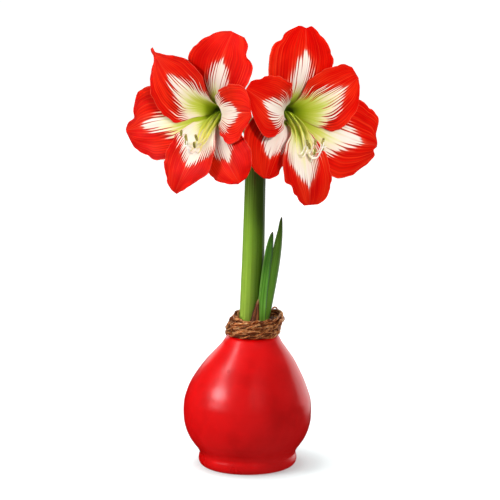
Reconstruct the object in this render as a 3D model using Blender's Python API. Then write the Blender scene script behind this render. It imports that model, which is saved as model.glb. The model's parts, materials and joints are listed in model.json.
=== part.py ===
"""A waxed amaryllis bulb in flower: a red wax coat on a bulb, a vine ring round its neck, two
leaves, one scape and two blooms of six tepals each, with their stamens and styles.

The working unit is the millimetre. +Z is up, and the origin is the centre of the flat wax foot.
"""

import bmesh
import bpy
import numpy as np

MM = 0.001
GAP = 0.3  # clear space between two pieces that meet

# Wax coat
WAX_WALL = 2.5
WAX_PROFILE = (  # height, outer radius
    (0.0, 35.2), (0.8, 37.0), (2.6, 38.3), (5.2, 38.9), (8.5, 38.6), (10.5, 38.8), (13.5, 39.8),
    (18.0, 42.6), (24.0, 46.3), (31.0, 49.0), (38.0, 50.4), (45.0, 50.7), (52.0, 50.2),
    (60.0, 47.9), (68.0, 44.8), (76.0, 40.5), (84.5, 35.2), (89.5, 31.4), (94.5, 27.4),
    (99.5, 23.6), (103.5, 21.4), (105.0, 20.2), (105.5, 18.8),
)
NECK_OPENING = 13.8  # radius of the hole that the wax leaves round the neck
LEAN_START = 60.0  # the neck leans to one side above this height
LEAN_END = 110.0
LEAN = 4.3
SEGMENTS = 32

# Bulb neck and what stands in it
NECK_RADIUS = 13.4
NECK_TOP = 114.5
SOCKET_FLOOR = 99.0
SOCKET_CLEAR = 0.45  # room round the scape and the leaves in their sockets
TUNIC_TIP = 136.0
TUNIC_THICK = 0.9

# Vine ring, one row for each turn: centre x, radius, height, rise to the back, rise to the right
VINE_TURNS = (
    (4.5, 16.4, 108.0, 0.0, 0.0), (4.4, 19.7, 108.2, 0.2, -0.2), (4.4, 20.4, 111.3, 0.5, -0.3),
    (4.7, 17.1, 111.3, 0.2, 0.2), (5.4, 20.0, 114.5, 0.4, 0.4), (6.2, 17.0, 114.6, 0.8, 0.0),
    (7.2, 20.0, 117.5, 0.7, 0.3), (7.6, 16.9, 118.0, 1.2, 0.5), (8.2, 18.3, 120.4, 1.7, 0.7),
)
VINE_RADIUS = 1.7
VINE_SEGMENTS = 19
VINE_SIDES = 5

# Scape: height, centre x, centre y, radius
SCAPE = (
    (SOCKET_FLOOR + GAP, 2.2, 0.4, 9.1), (119.0, 2.6, 0.4, 8.95), (172.0, 4.65, 0.3, 8.75),
    (223.0, 5.95, 0.1, 8.25), (246.0, 6.55, 0.0, 8.1), (252.0, 6.55, 0.0, 8.9),
)

# Leaves: height, centre x, centre y, full width
LEAF_SHORT = (
    (SOCKET_FLOOR + GAP, 12.0, -6.9, 6.4), (114.0, 12.1, -6.9, 7.4), (140.0, 13.3, -7.0, 9.6),
    (157.7, 15.2, -7.4, 8.8), (172.0, 17.6, -7.8, 8.4), (182.0, 18.9, -8.2, 6.2),
    (190.0, 19.7, -8.5, 1.4),
)
LEAF_TALL = (
    (SOCKET_FLOOR + GAP, 14.4, 1.6, 5.8), (114.0, 14.9, 1.8, 6.4), (122.9, 17.4, 2.2, 7.6),
    (133.5, 19.2, 2.3, 8.6), (156.0, 22.4, 2.0, 9.2), (177.8, 25.0, 1.6, 8.0),
    (190.0, 26.2, 1.4, 5.0), (200.0, 26.9, 1.2, 1.4),
)
LEAF_THICK = 1.3
LEAF_SHORT_FACING = 50  # how far each blade's width turns from +X, in degrees
LEAF_TALL_FACING = 76

# Tepals: the thin blades of a bloom, three outer sepals behind three inner petals
BLADE_THICK = 0.7
STATIONS = (0.0, 0.20, 0.35, 0.50, 0.65, 0.78, 0.88, 0.95, 1.0)  # share of a tepal's length
TEPAL_ROWS = 13
TEPAL_COLUMNS = 9
SEPAL = {"root": 7.7, "flare_start": 14, "power": 0.98, "fold": (50, 38, 20, 5, -5)}
PETAL = {"root": 6.0, "flare_start": 8, "power": 1.05, "fold": (50, 43, 30, 11, -3)}

# A tepal's azimuth is counted from its bloom's right, anticlockwise as seen from the front.
# flare is the angle between its rib and the bloom's axis at the tip, swing and roll are its
# sideways bend and its twist there, in degrees. left and right are the widths from the rib to
# each margin at STATIONS, seen with the tip up. A nick is where it is along and across, its
# depth and its radius.
LEFT_TEPALS = {
    "sepal_top": {
        **SEPAL, "azimuth": 62, "length": 83, "swing": 3, "roll": 8, "flare": 104, "wave": 0.5,
        "left": (6, 13, 20, 26, 26, 21, 15.5, 9.5, 1.5),
        "right": (6, 13, 19, 25, 28, 27, 19.5, 16, 10.5),
        "nicks": ((0.89, -20, 2.5, 4),),
    },
    "petal_upper": {
        **PETAL, "azimuth": 129, "length": 78, "flare": 106, "wave": 2.0,
        "left": (5, 14, 25, 24.5, 20, 12.5, 4, 1.8, 1.5),
        "right": (5, 9, 16, 24.3, 22.5, 14.5, 5.5, 1.2, 1.0),
    },
    "sepal_side": {
        **SEPAL, "azimuth": 196, "length": 74, "swing": -2, "flare": 106, "wave": 3.3,
        "left": (6, 13, 21, 27.5, 27, 21.5, 16.5, 10.5, 2),
        "right": (6, 14, 22, 28, 30.5, 25.5, 13, 6, 1.5),
        "nicks": ((0.90, -9, 3.5, 4),),
    },
    "petal_lower": {
        **PETAL, "azimuth": 267, "length": 76, "swing": -10, "flare": 104, "wave": 4.4,
        "left": (5, 8.5, 14.5, 22, 23.5, 15, 8.5, 4.5, 2),
        "right": (5, 11, 16, 19, 19, 17, 13.5, 9.5, 3),
    },
    "sepal_lower": {
        **SEPAL, "azimuth": 312, "length": 71, "swing": -2, "flare": 101, "wave": 5.2,
        "left": (6, 12, 18, 21.5, 22.8, 23, 19.5, 14, 7),
        "right": (6, 12, 17, 19.5, 19, 17, 13, 7.5, 1.5),
    },
    "petal_inward": {
        **PETAL, "azimuth": 7, "length": 64.3, "roll": 4, "flare": 91.5, "wave": 1.0,
        "left": (5, 8, 11, 17.5, 21, 22.5, 21.5, 17.5, 9),
        "right": (5, 7.5, 12, 19, 24.5, 20.5, 13, 8, 3),
    },
}
RIGHT_TEPALS = {
    "sepal_top": {
        **SEPAL, "azimuth": 91, "length": 77, "swing": -2, "flare": 102, "wave": 1.7,
        "left": (6, 14, 24, 31.5, 32.5, 30, 22.5, 14.5, 6),
        "right": (6, 12, 17.5, 22.5, 23.5, 19.8, 14.5, 10, 5),
        "nicks": ((0.89, 22, 2, 4), (1.0, -0.5, 1.5, 2.5)),
    },
    "petal_upper": {
        **PETAL, "azimuth": 30, "length": 64, "flare": 97, "wave": 0.2,
        "fold": (50, 44, 34, 16, 2),
        "left": (5, 9, 14.5, 22, 22, 19.5, 17, 14, 9.5),
        "right": (5, 12, 21, 26.3, 23.5, 19.5, 13, 6, 0.5),
    },
    "sepal_side": {
        **SEPAL, "azimuth": 327, "length": 74, "swing": 8, "flare": 104, "wave": 2.9,
        "fold": (50, 33, 12, 2, -5),
        "left": (6, 14, 23, 29, 30, 27.5, 25, 22, 13),
        "right": (6, 13, 22, 31, 33.3, 27, 18.5, 12.5, 7),
        "nicks": ((0.99, 10, 3.5, 6), (1.0, -4.5, 3, 2.5)),
    },
    "petal_lower": {
        **PETAL, "azimuth": 260, "length": 86, "swing": 4, "flare": 104, "wave": 4.0,
        "left": (5, 8, 10.5, 14, 17, 18.5, 16.5, 13, 7.5),
        "right": (4.2, 6.8, 11, 20, 24, 22.5, 14.5, 10, 4),
        "nicks": ((0.84, -17, 2.5, 4), (0.93, -11, 1.5, 2.5)),
    },
    "sepal_lower": {
        **SEPAL, "azimuth": 213, "length": 67, "swing": 18, "roll": 14, "flare": 100, "wave": 5.6,
        "left": (6, 11, 13, 13.5, 12.5, 11, 9.5, 8, 3),
        "right": (6, 12, 18, 23, 25, 22, 16, 9, 2),
    },
    "petal_inward": {
        **PETAL, "azimuth": 167, "length": 74, "swing": -10, "flare": 98, "wave": 0.9,
        "left": (4.2, 6.2, 8.2, 24, 26.3, 19, 9.5, 3.5, 1),
        "right": (5, 10, 16, 21, 22, 20, 16.5, 12.5, 7),
        "nicks": ((0.94, -14, 1.5, 3),),
    },
}

# Blooms: where the throat is, and how far the face turns from the front and tips up. foot is
# where the flower stalk leaves the top of the scape. The middle of the bunch of filaments runs
# through (side, rise, depth) in the bloom's own frame.
BLOOMS = {
    "left": {
        "throat": (-21.0, -35.0, 287.3), "yaw": -30, "pitch": 5, "foot": (2.6, -1.0),
        "tepals": LEFT_TEPALS,
        "bunch": (
            (0, 0, 2.0), (0, -4.7, 13), (0, -11.5, 25), (-0.5, -19.0, 37), (-1, -21.5, 48),
            (-1, -19.5, 57), (-1, -13.0, 62),
        ),
    },
    "right": {
        "throat": (30.4, -30.0, 286.3), "yaw": 26, "pitch": 7, "foot": (10.6, -1.0),
        "tepals": RIGHT_TEPALS,
        "bunch": (
            (0, 0, 2.0), (-0.2, -4.5, 13), (-0.8, -11.5, 26), (-1.2, -20.5, 37), (-0.5, -28.0, 47),
            (2, -28.0, 56), (4, -20.0, 62),
        ),
    },
}
FILAMENTS = 6
FILAMENT_RADIUS = 0.6
FILAMENT_RING = 3.1  # radius of the ring of filaments at their roots
FILAMENT_SPREAD = 4.0  # how much wider the bunch is at its tips
BUNCH_FLATNESS = 0.6  # the bunch's height over its width
DISC_RADIUS = 5.2
DISC_TOP = 1.5

# Flower stalk: share of the ovary and tepal tube's length, radius
STALK_RADIUS = 3.2
OVARY_LENGTH = 31.0
OVARY = (
    (0, 3.1), (0.12, 4.6), (0.28, 6.0), (0.45, 5.6), (0.58, 4.4), (0.72, 5.0), (0.88, 7.2), (1, 8.5),
)

# Withered bracts at the head of the scape: the way each one leans, in degrees from +X
BRACTS = {"spathe_left": 112, "spathe_right": 62}
BRACT_LENGTH = 33.0
BRACT_LEAN = 10.0
BRACT_THICK = 0.8


def smooth(knots, values, at):
    """A curve through values at knots that doesn't swing past them: cubic, level at each peak."""
    knots, values = np.asarray(knots, float), np.asarray(values, float)
    rise = np.diff(values) / np.diff(knots)
    before, after = rise[:-1], rise[1:]
    total = np.where(before + after == 0, 1, before + after)
    inner = np.where(before * after > 0, 2 * before * after / total, 0)
    return cubic(knots, values, np.concatenate([rise[:1], inner, rise[-1:]]), at)


def path_through(knots, points, at):
    """A round curve through points in space, one for each knot."""
    knots, points = np.asarray(knots, float), np.asarray(points, float)
    return cubic(knots, points, np.gradient(points, knots, axis=0), at)


def cubic(knots, values, slopes, at):
    at = np.clip(np.asarray(at, float), knots[0], knots[-1])
    i = np.clip(np.searchsorted(knots, at, side="right") - 1, 0, len(knots) - 2)
    step = knots[i + 1] - knots[i]
    t = (at - knots[i]) / step
    if values.ndim == 2:
        t, step = t[:, None], step[:, None]
    return (
        (1 + 2 * t) * (1 - t) ** 2 * values[i]
        + t * (1 - t) ** 2 * step * slopes[i]
        + t * t * (3 - 2 * t) * values[i + 1]
        + t * t * (t - 1) * step * slopes[i + 1]
    )


def unit(vectors):
    return vectors / np.linalg.norm(vectors, axis=-1, keepdims=True)


def material(name, colour, roughness):
    made = bpy.data.materials.new(name)
    made.use_nodes = True
    shader = made.node_tree.nodes["Principled BSDF"]
    shader.inputs["Base Color"].default_value = (*colour, 1.0)
    shader.inputs["Roughness"].default_value = roughness
    shader.inputs["Metallic"].default_value = 0.0
    return made


def solid(name, points, faces, finish):
    """An object from points in millimetres and faces that close round one body, turned to face out."""
    mesh = bpy.data.meshes.new(name)
    mesh.from_pydata([tuple(p) for p in np.asarray(points) * MM], [], [tuple(map(int, f)) for f in faces])
    shaping = bmesh.new()
    shaping.from_mesh(mesh)
    if shaping.calc_volume(signed=True) < 0:
        bmesh.ops.reverse_faces(shaping, faces=shaping.faces)
    shaping.to_mesh(mesh)
    shaping.free()
    mesh.materials.append(finish)
    made = bpy.data.objects.new(name, mesh)
    bpy.context.scene.collection.objects.link(made)
    shade(made)
    return made


def shade(made):
    made.data.shade_smooth()
    made.data.set_sharp_from_angle(angle=np.radians(50))


def settle(made):
    """Applies the object's modifiers to its mesh."""
    bpy.context.view_layer.update()
    result = made.evaluated_get(bpy.context.evaluated_depsgraph_get())
    mesh = bpy.data.meshes.new_from_object(result)
    made.modifiers.clear()
    made.data = mesh


def fuse(made, others):
    """Joins others into made as one body, and removes them."""
    group = bpy.data.collections.new(made.name + "_parts")
    bpy.context.scene.collection.children.link(group)
    for other in others:
        group.objects.link(other)
    union = made.modifiers.new("union", "BOOLEAN")
    union.operation = "UNION"
    union.operand_type = "COLLECTION"
    union.collection = group
    settle(made)
    shade(made)
    for other in others:
        bpy.data.objects.remove(other)
    bpy.data.collections.remove(group)


def cut(made, cutter):
    """Takes cutter out of made, and removes it."""
    cutter.hide_render = True
    cutter.display_type = "WIRE"
    difference = made.modifiers.new("hole", "BOOLEAN")
    difference.operation = "DIFFERENCE"
    difference.object = cutter
    settle(made)
    shade(made)
    bpy.data.objects.remove(cutter)


def grid_faces(rows, columns, closed=False):
    """Triangles over a grid of points, all split the same way; closed joins the last column to the first."""
    index = np.arange(rows * columns).reshape(rows, columns)
    if closed:
        index = np.concatenate([index, index[:, :1]], axis=1)
    a, b = index[:-1, :-1].ravel(), index[1:, :-1].ravel()
    c, d = index[1:, 1:].ravel(), index[:-1, 1:].ravel()
    return np.concatenate([np.stack([a, b, c], 1), np.stack([a, c, d], 1)])


def turned(name, heights, radii, finish):
    """A body turned round the leaning axis: rings up the profile, fans at its two ends."""
    heights, radii = np.asarray(heights, float), np.asarray(radii, float)
    around = np.arange(SEGMENTS) * 2 * np.pi / SEGMENTS
    rings = np.stack(
        [
            lean(heights)[:, None] + radii[:, None] * np.cos(around),
            radii[:, None] * np.sin(around),
            np.broadcast_to(heights[:, None], (len(heights), SEGMENTS)),
        ],
        axis=2,
    )
    ends = [[lean(heights[end]), 0, heights[end]] for end in (0, -1)]
    points = np.concatenate([rings.reshape(-1, 3), ends])
    first, last = len(points) - 2, len(points) - 1
    spot = np.arange(SEGMENTS)
    after = np.roll(spot, -1)
    top = (len(heights) - 1) * SEGMENTS
    faces = np.concatenate(
        [
            grid_faces(len(heights), SEGMENTS, closed=True),
            np.stack([np.full(SEGMENTS, first), spot, after], 1),
            np.stack([np.full(SEGMENTS, last), after + top, spot + top], 1),
        ]
    )
    return solid(name, points, faces, finish)


def tube(name, path, radii, sides, finish, squash=1.0):
    """A closed tube along a path, its cross-section carried along without twisting."""
    path = np.asarray(path, float)
    radii = np.broadcast_to(radii, len(path))
    ahead = unit(np.gradient(path, axis=0))
    across = np.empty_like(path)
    start = np.array([1.0, 0.0, 0.0]) if abs(ahead[0][0]) < 0.7 else np.array([0.0, 1.0, 0.0])
    for i, direction in enumerate(ahead):
        start = start - direction * (start @ direction)
        start = across[i] = start / np.linalg.norm(start)
    beside = np.cross(ahead, across)
    around = np.arange(sides) * 2 * np.pi / sides
    points = (
        path[:, None]
        + (radii[:, None] * np.cos(around))[..., None] * across[:, None]
        + (radii[:, None] * np.sin(around) * squash)[..., None] * beside[:, None]
    ).reshape(-1, 3)
    caps = [np.arange(sides), np.arange(sides)[::-1] + (len(path) - 1) * sides]
    return solid(name, points, [*grid_faces(len(path), sides, closed=True), *caps], finish)


def blade(name, grid, thickness, finish):
    """A thin closed blade: the grid's surface offset by half its thickness to each face."""
    rows, columns = grid.shape[:2]
    normals = unit(np.cross(np.gradient(grid, axis=0), np.gradient(grid, axis=1)))
    front = (grid + normals * thickness / 2).reshape(-1, 3)
    back = (grid - normals * thickness / 2).reshape(-1, 3)
    index = np.arange(rows * columns).reshape(rows, columns)
    rim = np.concatenate([index[0], index[1:, -1], index[-1, -2::-1], index[-2:0:-1, 0]])
    after = np.roll(rim, -1)
    face = grid_faces(rows, columns)
    behind = rows * columns
    faces = np.concatenate(
        [
            face,
            face[:, ::-1] + behind,
            np.stack([rim, after, after + behind], 1),
            np.stack([rim, after + behind, rim + behind], 1),
        ]
    )
    return solid(name, np.concatenate([front, back]), faces, finish)


def lean(height):
    """How far the wax and bulb stand to one side at a height."""
    share = np.clip((np.asarray(height, float) - LEAN_START) / (LEAN_END - LEAN_START), 0, 1)
    return LEAN * share * share * (3 - 2 * share)


def hollow_profile(clearance):
    """The wax coat's hollow from its floor to its opening, drawn in by a clearance: heights and radii."""
    heights = np.array([WAX_WALL, WAX_WALL + 1.2, 9.0, 18.0, 31.0, 45.0, 60.0, 76.0, 89.5, 97.0, 101.5, 103.5])
    outer_heights, outer_radii = np.array(WAX_PROFILE).T
    radii = smooth(outer_heights, outer_radii, heights) - WAX_WALL
    radii[0] = radii[1] - 4
    radii[-2:] = NECK_OPENING + 1.8, NECK_OPENING
    along = unit(np.gradient(np.stack([heights, radii], 1), axis=0))
    return heights + clearance * along[:, 1], radii - clearance * along[:, 0]


def make_wax_coat(finish):
    outer_heights, outer_radii = np.array(WAX_PROFILE).T
    inner_heights, inner_radii = hollow_profile(0)
    heights = np.concatenate([outer_heights, [outer_heights[-1]], inner_heights[::-1]])
    radii = np.concatenate([outer_radii, [NECK_OPENING], inner_radii[::-1]])
    return turned("wax_coat", heights, radii, finish)


def make_bulb(finish):
    """The bulb that fills the coat, with its neck, a dry scale, and sockets for what grows out of it."""
    heights, radii = hollow_profile(GAP + 0.1)
    heights = np.concatenate([heights, [NECK_TOP - 4, NECK_TOP - 1, NECK_TOP]])
    radii = np.concatenate([radii, [NECK_RADIUS, NECK_RADIUS - 0.8, NECK_RADIUS - 2.2]])
    bulb = turned("bulb", heights, radii, finish)
    fuse(bulb, [make_tunic_tip(finish)])
    top = NECK_TOP + 3
    cut(bulb, scape_body("scape_hole", SOCKET_CLEAR, SOCKET_FLOOR, top, finish))
    cut(bulb, leaf_body("short_slot", LEAF_SHORT, LEAF_SHORT_FACING, SOCKET_CLEAR, finish, top))
    cut(bulb, leaf_body("tall_slot", LEAF_TALL, LEAF_TALL_FACING, SOCKET_CLEAR, finish, top))


def make_tunic_tip(finish):
    """The dry outer scale that stands up in front of the scape, its root inside the neck."""
    along = np.linspace(0, 1, 8)
    across = np.linspace(-1, 1, 5)
    root = NECK_TOP - 5
    height = root + (TUNIC_TIP - root) * along
    middle = np.stack([4.4 + 4.3 * along, -11.6 + 0.6 * along, height], 1)
    half = smooth((0, 0.3, 0.7, 1), (3.2, 3.0, 1.9, 0.5), along)
    offset = half[:, None] * across
    curl = 0.12 * offset**2
    grid = middle[:, None] + np.stack([offset, curl, 0 * offset], axis=2)
    return blade("tunic_tip", grid, TUNIC_THICK, finish)


def make_vine_ring(finish):
    """Vine wound round the neck: closed turns that wander a little, fused where they touch."""
    turns = [vine_turn(f"turn_{k}", k, turn, finish) for k, turn in enumerate(VINE_TURNS)]
    ring = turns[0]
    ring.name = "vine_ring"
    fuse(ring, turns[1:])


def vine_turn(name, k, turn, finish):
    """One closed turn of vine: a round tube that wanders in and out and up and down as it goes round."""
    middle, radius, height, back, right = turn
    angle = np.arange(VINE_SEGMENTS) * 2 * np.pi / VINE_SEGMENTS
    phase = 2.4 * k
    radius = radius + 0.3 * np.sin(3 * angle + phase) + 0.2 * np.sin(5 * angle + 1.7 * phase)
    height = height + back * np.sin(angle) + right * np.cos(angle) + 0.4 * np.sin(4 * angle + phase)
    centre = np.stack([middle + radius * np.cos(angle), radius * np.sin(angle), height], 1)
    outward = np.stack([np.cos(angle), np.sin(angle), 0 * angle], 1)
    side = np.arange(VINE_SIDES) * 2 * np.pi / VINE_SIDES + 0.7 * k
    points = (
        centre[:, None]
        + (VINE_RADIUS * np.cos(side))[:, None] * outward[:, None]
        + (VINE_RADIUS * np.sin(side))[:, None] * np.array([0, 0, 1.0])
    ).reshape(-1, 3)
    last = (VINE_SEGMENTS - 1) * VINE_SIDES
    spot = np.arange(VINE_SIDES)
    after = np.roll(spot, -1)
    seam = np.concatenate(
        [np.stack([spot + last, spot, after], 1), np.stack([spot + last, after, after + last], 1)]
    )
    faces = np.concatenate([grid_faces(VINE_SEGMENTS, VINE_SIDES, closed=True), seam])
    return solid(name, points, faces, finish)


def scape_body(name, grown, bottom, top, finish):
    heights, x, y, radius = np.array(SCAPE).T
    at = np.linspace(bottom, top, 11 if grown == 0 else 3)
    where = path_through(heights, np.stack([x, y, heights], 1), at)
    where[:, 2] = at
    return tube(name, where, smooth(heights, radius, at) + grown, 18, finish, squash=0.94)


def make_scape(finish):
    return scape_body("scape", 0, SCAPE[0][0], SCAPE[-1][0], finish)


def leaf_body(name, leaf, facing, grown, finish, top=None):
    """A channelled leaf: the blade's edges are folded towards the scape. facing turns its width."""
    heights, x, y, width = np.array(leaf).T
    along = np.linspace(heights[0] - grown, top if top else heights[-1], 6 if top else 14)
    across = np.linspace(-1, 1, 6)
    where = path_through(heights, np.stack([x, y, heights], 1), along)
    where[:, 2] = along
    half = smooth(heights, width, along)[:, None] / 2 + grown
    side = np.array([np.cos(np.radians(facing)), np.sin(np.radians(facing)), 0])
    inward = np.array([-side[1], side[0], 0])
    sag = 0.35 * np.abs(across) ** 1.6 * (half - grown)
    grid = where[:, None] + (half * across)[..., None] * side + sag[..., None] * inward
    return blade(name, grid, LEAF_THICK + 2 * grown, finish)


def make_leaves(finish):
    leaf_body("leaf_short", LEAF_SHORT, LEAF_SHORT_FACING, 0, finish)
    leaf_body("leaf_tall", LEAF_TALL, LEAF_TALL_FACING, 0, finish)


def make_spathes(finish):
    """The two withered bracts behind the stalks, one each side."""
    for name, turn in BRACTS.items():
        out = np.array([np.cos(np.radians(turn)), np.sin(np.radians(turn)), 0])
        side = np.array([-out[1], out[0], 0])
        along = np.linspace(0, 1, 9)
        across = np.linspace(-1, 1, 6)
        reach = 7.4 + BRACT_LEAN * along**1.3
        height = SCAPE[-1][0] + 2 * GAP + 0.3 + BRACT_LENGTH * along
        middle = np.array([SCAPE[-1][1], SCAPE[-1][2], 0]) + reach[:, None] * out
        middle[:, 2] = height
        half = smooth((0, 0.25, 0.6, 1), (2.0, 3.1, 3.0, 0.7), along)
        sag = 0.9 * across**2
        grid = middle[:, None] + (half[:, None] * across)[..., None] * side
        grid = grid - sag[None, :, None] * out
        blade(name, grid, BRACT_THICK, finish)


def bloom_frame(bloom):
    """The bloom's throat, and the directions to its right, up and out along its axis."""
    yaw, pitch = np.radians(bloom["yaw"]), np.radians(bloom["pitch"])
    axis = np.array([np.sin(yaw) * np.cos(pitch), -np.cos(yaw) * np.cos(pitch), np.sin(pitch)])
    right = unit(np.cross([0, 0, 1.0], axis))
    return np.array(bloom["throat"]), right, np.cross(axis, right), axis


def rib(frame, tepal, along):
    """The tepal's midrib: it leaves the throat along the axis and flares out. Points, side, normal."""
    throat, right, up, axis = frame
    fine = np.linspace(0, 1.12, 225)
    turn = np.radians(tepal["flare_start"] + (tepal["flare"] - tepal["flare_start"]) * fine ** tepal["power"])
    step = tepal["length"] * (fine[1] - fine[0])
    out = tepal["root"] + step * np.concatenate([[0], np.cumsum(np.sin(turn[1:]) + np.sin(turn[:-1])) / 2])
    depth = GAP + 0.1 + step * np.concatenate([[0], np.cumsum(np.cos(turn[1:]) + np.cos(turn[:-1])) / 2])
    azimuth = np.radians(tepal["azimuth"] + tepal.get("swing", 0) * fine**2)[:, None]
    points = throat + depth[:, None] * axis + out[:, None] * (np.cos(azimuth) * right + np.sin(azimuth) * up)
    ahead = unit(np.gradient(points, fine, axis=0))
    side = -np.sin(azimuth) * right + np.cos(azimuth) * up
    side = unit(side - (side * ahead).sum(1, keepdims=True) * ahead)
    normal = np.cross(ahead, side)
    roll = np.radians(tepal.get("roll", 0) * fine)[:, None]
    side, normal = side * np.cos(roll) + normal * np.sin(roll), normal * np.cos(roll) - side * np.sin(roll)
    return [
        np.stack([np.interp(along, fine, part[:, k]) for k in range(3)], axis=-1)
        for part in (points, side, normal)
    ]


def tepal_grid(frame, tepal, rows, columns):
    """Points over a tepal: an arc across its rib, cut by its two margins, nicked and waved."""
    along = np.linspace(0, 1, rows)
    across = np.linspace(-1, 1, columns)
    left = smooth(STATIONS, tepal["left"], along)[:, None]
    right = smooth(STATIONS, tepal["right"], along)[:, None]
    offset = across * np.where(across > 0, left, right)
    place = np.broadcast_to(along[:, None], offset.shape)
    length = tepal["length"]
    for spot, reach, depth, radius in tepal.get("nicks", ()):
        outward = unit(np.array([(spot - 0.6) * length, reach]))
        distance = ((place - spot) * length) ** 2 + (offset - reach) ** 2
        pull = depth * np.exp(-distance / radius**2)
        place = place - outward[0] * pull / length
        offset = offset - outward[1] * pull
    place, offset = place.ravel(), offset.ravel()
    middle, side, normal = rib(frame, tepal, place)
    inner = np.clip(place, 0, 0.9)
    width = np.where(offset > 0, smooth(STATIONS, tepal["left"], inner), smooth(STATIONS, tepal["right"], inner))
    width = np.maximum(width, 5)
    bend = np.radians(smooth((0, 0.25, 0.5, 0.75, 1), tepal["fold"], place)) / width
    bend = np.where(np.abs(bend) < 1e-5, 1e-5, bend)
    ripple = (offset / width) ** 2 * np.sin(place)
    ripple = ripple * np.sin(5 * np.pi * place + tepal["wave"] + 1.1 * np.sign(offset))
    lift = (1 - np.cos(bend * offset)) / bend + ripple
    points = middle + (np.sin(bend * offset) / bend)[:, None] * side + lift[:, None] * normal
    return points.reshape(rows, columns, 3)


def make_stalk(side, bloom, finish):
    """Flower stalk, ovary and tepal tube in one: it rises from the scape and bends to the bloom's axis."""
    throat, _, _, axis = bloom_frame(bloom)
    foot = np.array([*bloom["foot"], SCAPE[-1][0] + GAP])
    neck = throat - OVARY_LENGTH * axis
    bend = neck - 5 * axis - np.array([0, 0, 9.0])
    ends = (foot, foot + (0, 0, 8.0), (foot + bend) / 2 + (0, 0, 5.0), bend, neck)
    stalk = path_through(np.arange(5), ends, np.linspace(0.2, 3.6, 8))
    share = np.linspace(0, 1, 11)
    straight = neck + OVARY_LENGTH * share[:, None] * axis
    path = np.concatenate([[foot, foot + (0, 0, 0.8)], stalk, straight])
    radii = np.concatenate([np.full(10, STALK_RADIUS), smooth(*zip(*OVARY), share)])
    tube(f"{side}_flower_stalk", path, radii, 12, finish)


def make_stamens(side, bloom, finish):
    """Six filaments rooted in a small disc, spread round the bunch's middle line, an anther on each."""
    throat, right, up, axis = frame = bloom_frame(bloom)
    disc = tube(
        f"{side}_stamens", [throat + GAP * axis, throat + DISC_TOP * axis], DISC_RADIUS, 12, finish
    )
    pieces = []
    for k in range(FILAMENTS):
        around = np.radians(30 + 60 * k)
        share = np.linspace(0, 1 - 0.05 * (k % 3), 9)
        spread = FILAMENT_RING + FILAMENT_SPREAD * share**1.5
        path = bunch_line(frame, bloom, share)
        path = path + (spread * np.cos(around))[:, None] * right
        path = path + (spread * np.sin(around) * BUNCH_FLATNESS)[:, None] * up
        path[0] = throat + 0.8 * axis + FILAMENT_RING * (np.cos(around) * right + np.sin(around) * up)
        pieces.append(tube("filament", path, FILAMENT_RADIUS, 4, finish))
        tip = path[-1]
        pieces.append(
            tube("anther", tip + np.linspace(-2.6, 2.6, 5)[:, None] * unit(0.9 * up + 0.4 * axis),
                 np.array([0.4, 1.0, 1.2, 1.0, 0.4]), 5, finish)
        )
    fuse(disc, pieces)


def bunch_line(frame, bloom, share):
    """The middle line of the bunch of filaments, from the throat to past the tepals."""
    throat, right, up, axis = frame
    spots = np.array(bloom["bunch"], float)
    local = path_through(np.linspace(0, 1, len(spots)), spots, share)
    return throat + local @ np.array([right, up, axis])


def make_style(side, bloom, finish):
    """The style runs down the middle of the filaments and ends in three short lobes."""
    frame = bloom_frame(bloom)
    _, right, up, axis = frame
    path = bunch_line(frame, bloom, np.linspace(0, 1, 12))
    radii = np.concatenate([[0.5], np.linspace(0.8, 0.65, 11)])
    style = tube(f"{side}_style", path, radii, 6, finish)
    tip, before = path[-1], path[-2]
    ahead = unit(tip - before)
    lobes = []
    for angle in (90, 210, 330):
        spread = np.cos(np.radians(angle)) * right + np.sin(np.radians(angle)) * up
        lobe = [tip - ahead, tip + 1.4 * ahead + 0.8 * spread, tip + 2.6 * ahead + 2.4 * spread]
        lobes.append(tube("lobe", lobe, np.array([0.5, 0.5, 0.4]), 5, finish))
    fuse(style, lobes)


def make_blooms(finishes):
    for side, bloom in BLOOMS.items():
        frame = bloom_frame(bloom)
        make_stalk(side, bloom, finishes["stalk"])
        for name, tepal in bloom["tepals"].items():
            grid = tepal_grid(frame, tepal, TEPAL_ROWS, TEPAL_COLUMNS)
            blade(f"{side}_{name}", grid, BLADE_THICK, finishes["tepal"])
        make_stamens(side, bloom, finishes["stamen"])
        make_style(side, bloom, finishes["style"])


def clear_scene():
    for old in list(bpy.data.objects):
        bpy.data.objects.remove(old)


def main():
    clear_scene()
    make_wax_coat(material("red_wax", (0.62, 0.004, 0.006), 0.32))
    make_bulb(material("bulb_skin", (0.30, 0.16, 0.07), 0.75))
    make_vine_ring(material("vine", (0.25, 0.09, 0.04), 0.6))
    make_scape(material("scape_green", (0.16, 0.34, 0.06), 0.45))
    make_leaves(material("leaf_green", (0.07, 0.22, 0.03), 0.45))
    make_spathes(material("papery_bract", (0.45, 0.36, 0.18), 0.8))
    make_blooms(
        {
            "stalk": material("stalk_green", (0.20, 0.38, 0.08), 0.45),
            "tepal": material("tepal_red", (0.80, 0.02, 0.005), 0.5),
            "stamen": material("filament_cream", (0.70, 0.70, 0.30), 0.5),
            "style": material("style_white", (0.85, 0.80, 0.62), 0.5),
        }
    )


main()
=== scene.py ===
"""A waxed amaryllis bulb in flower, dressed: glossy red wax, wound vine, scape, leaves and two
red and cream blooms. Sizes are in millimetres until a surface is made. +Z is up, and the
blooms face -Y.
"""

import json

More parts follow.
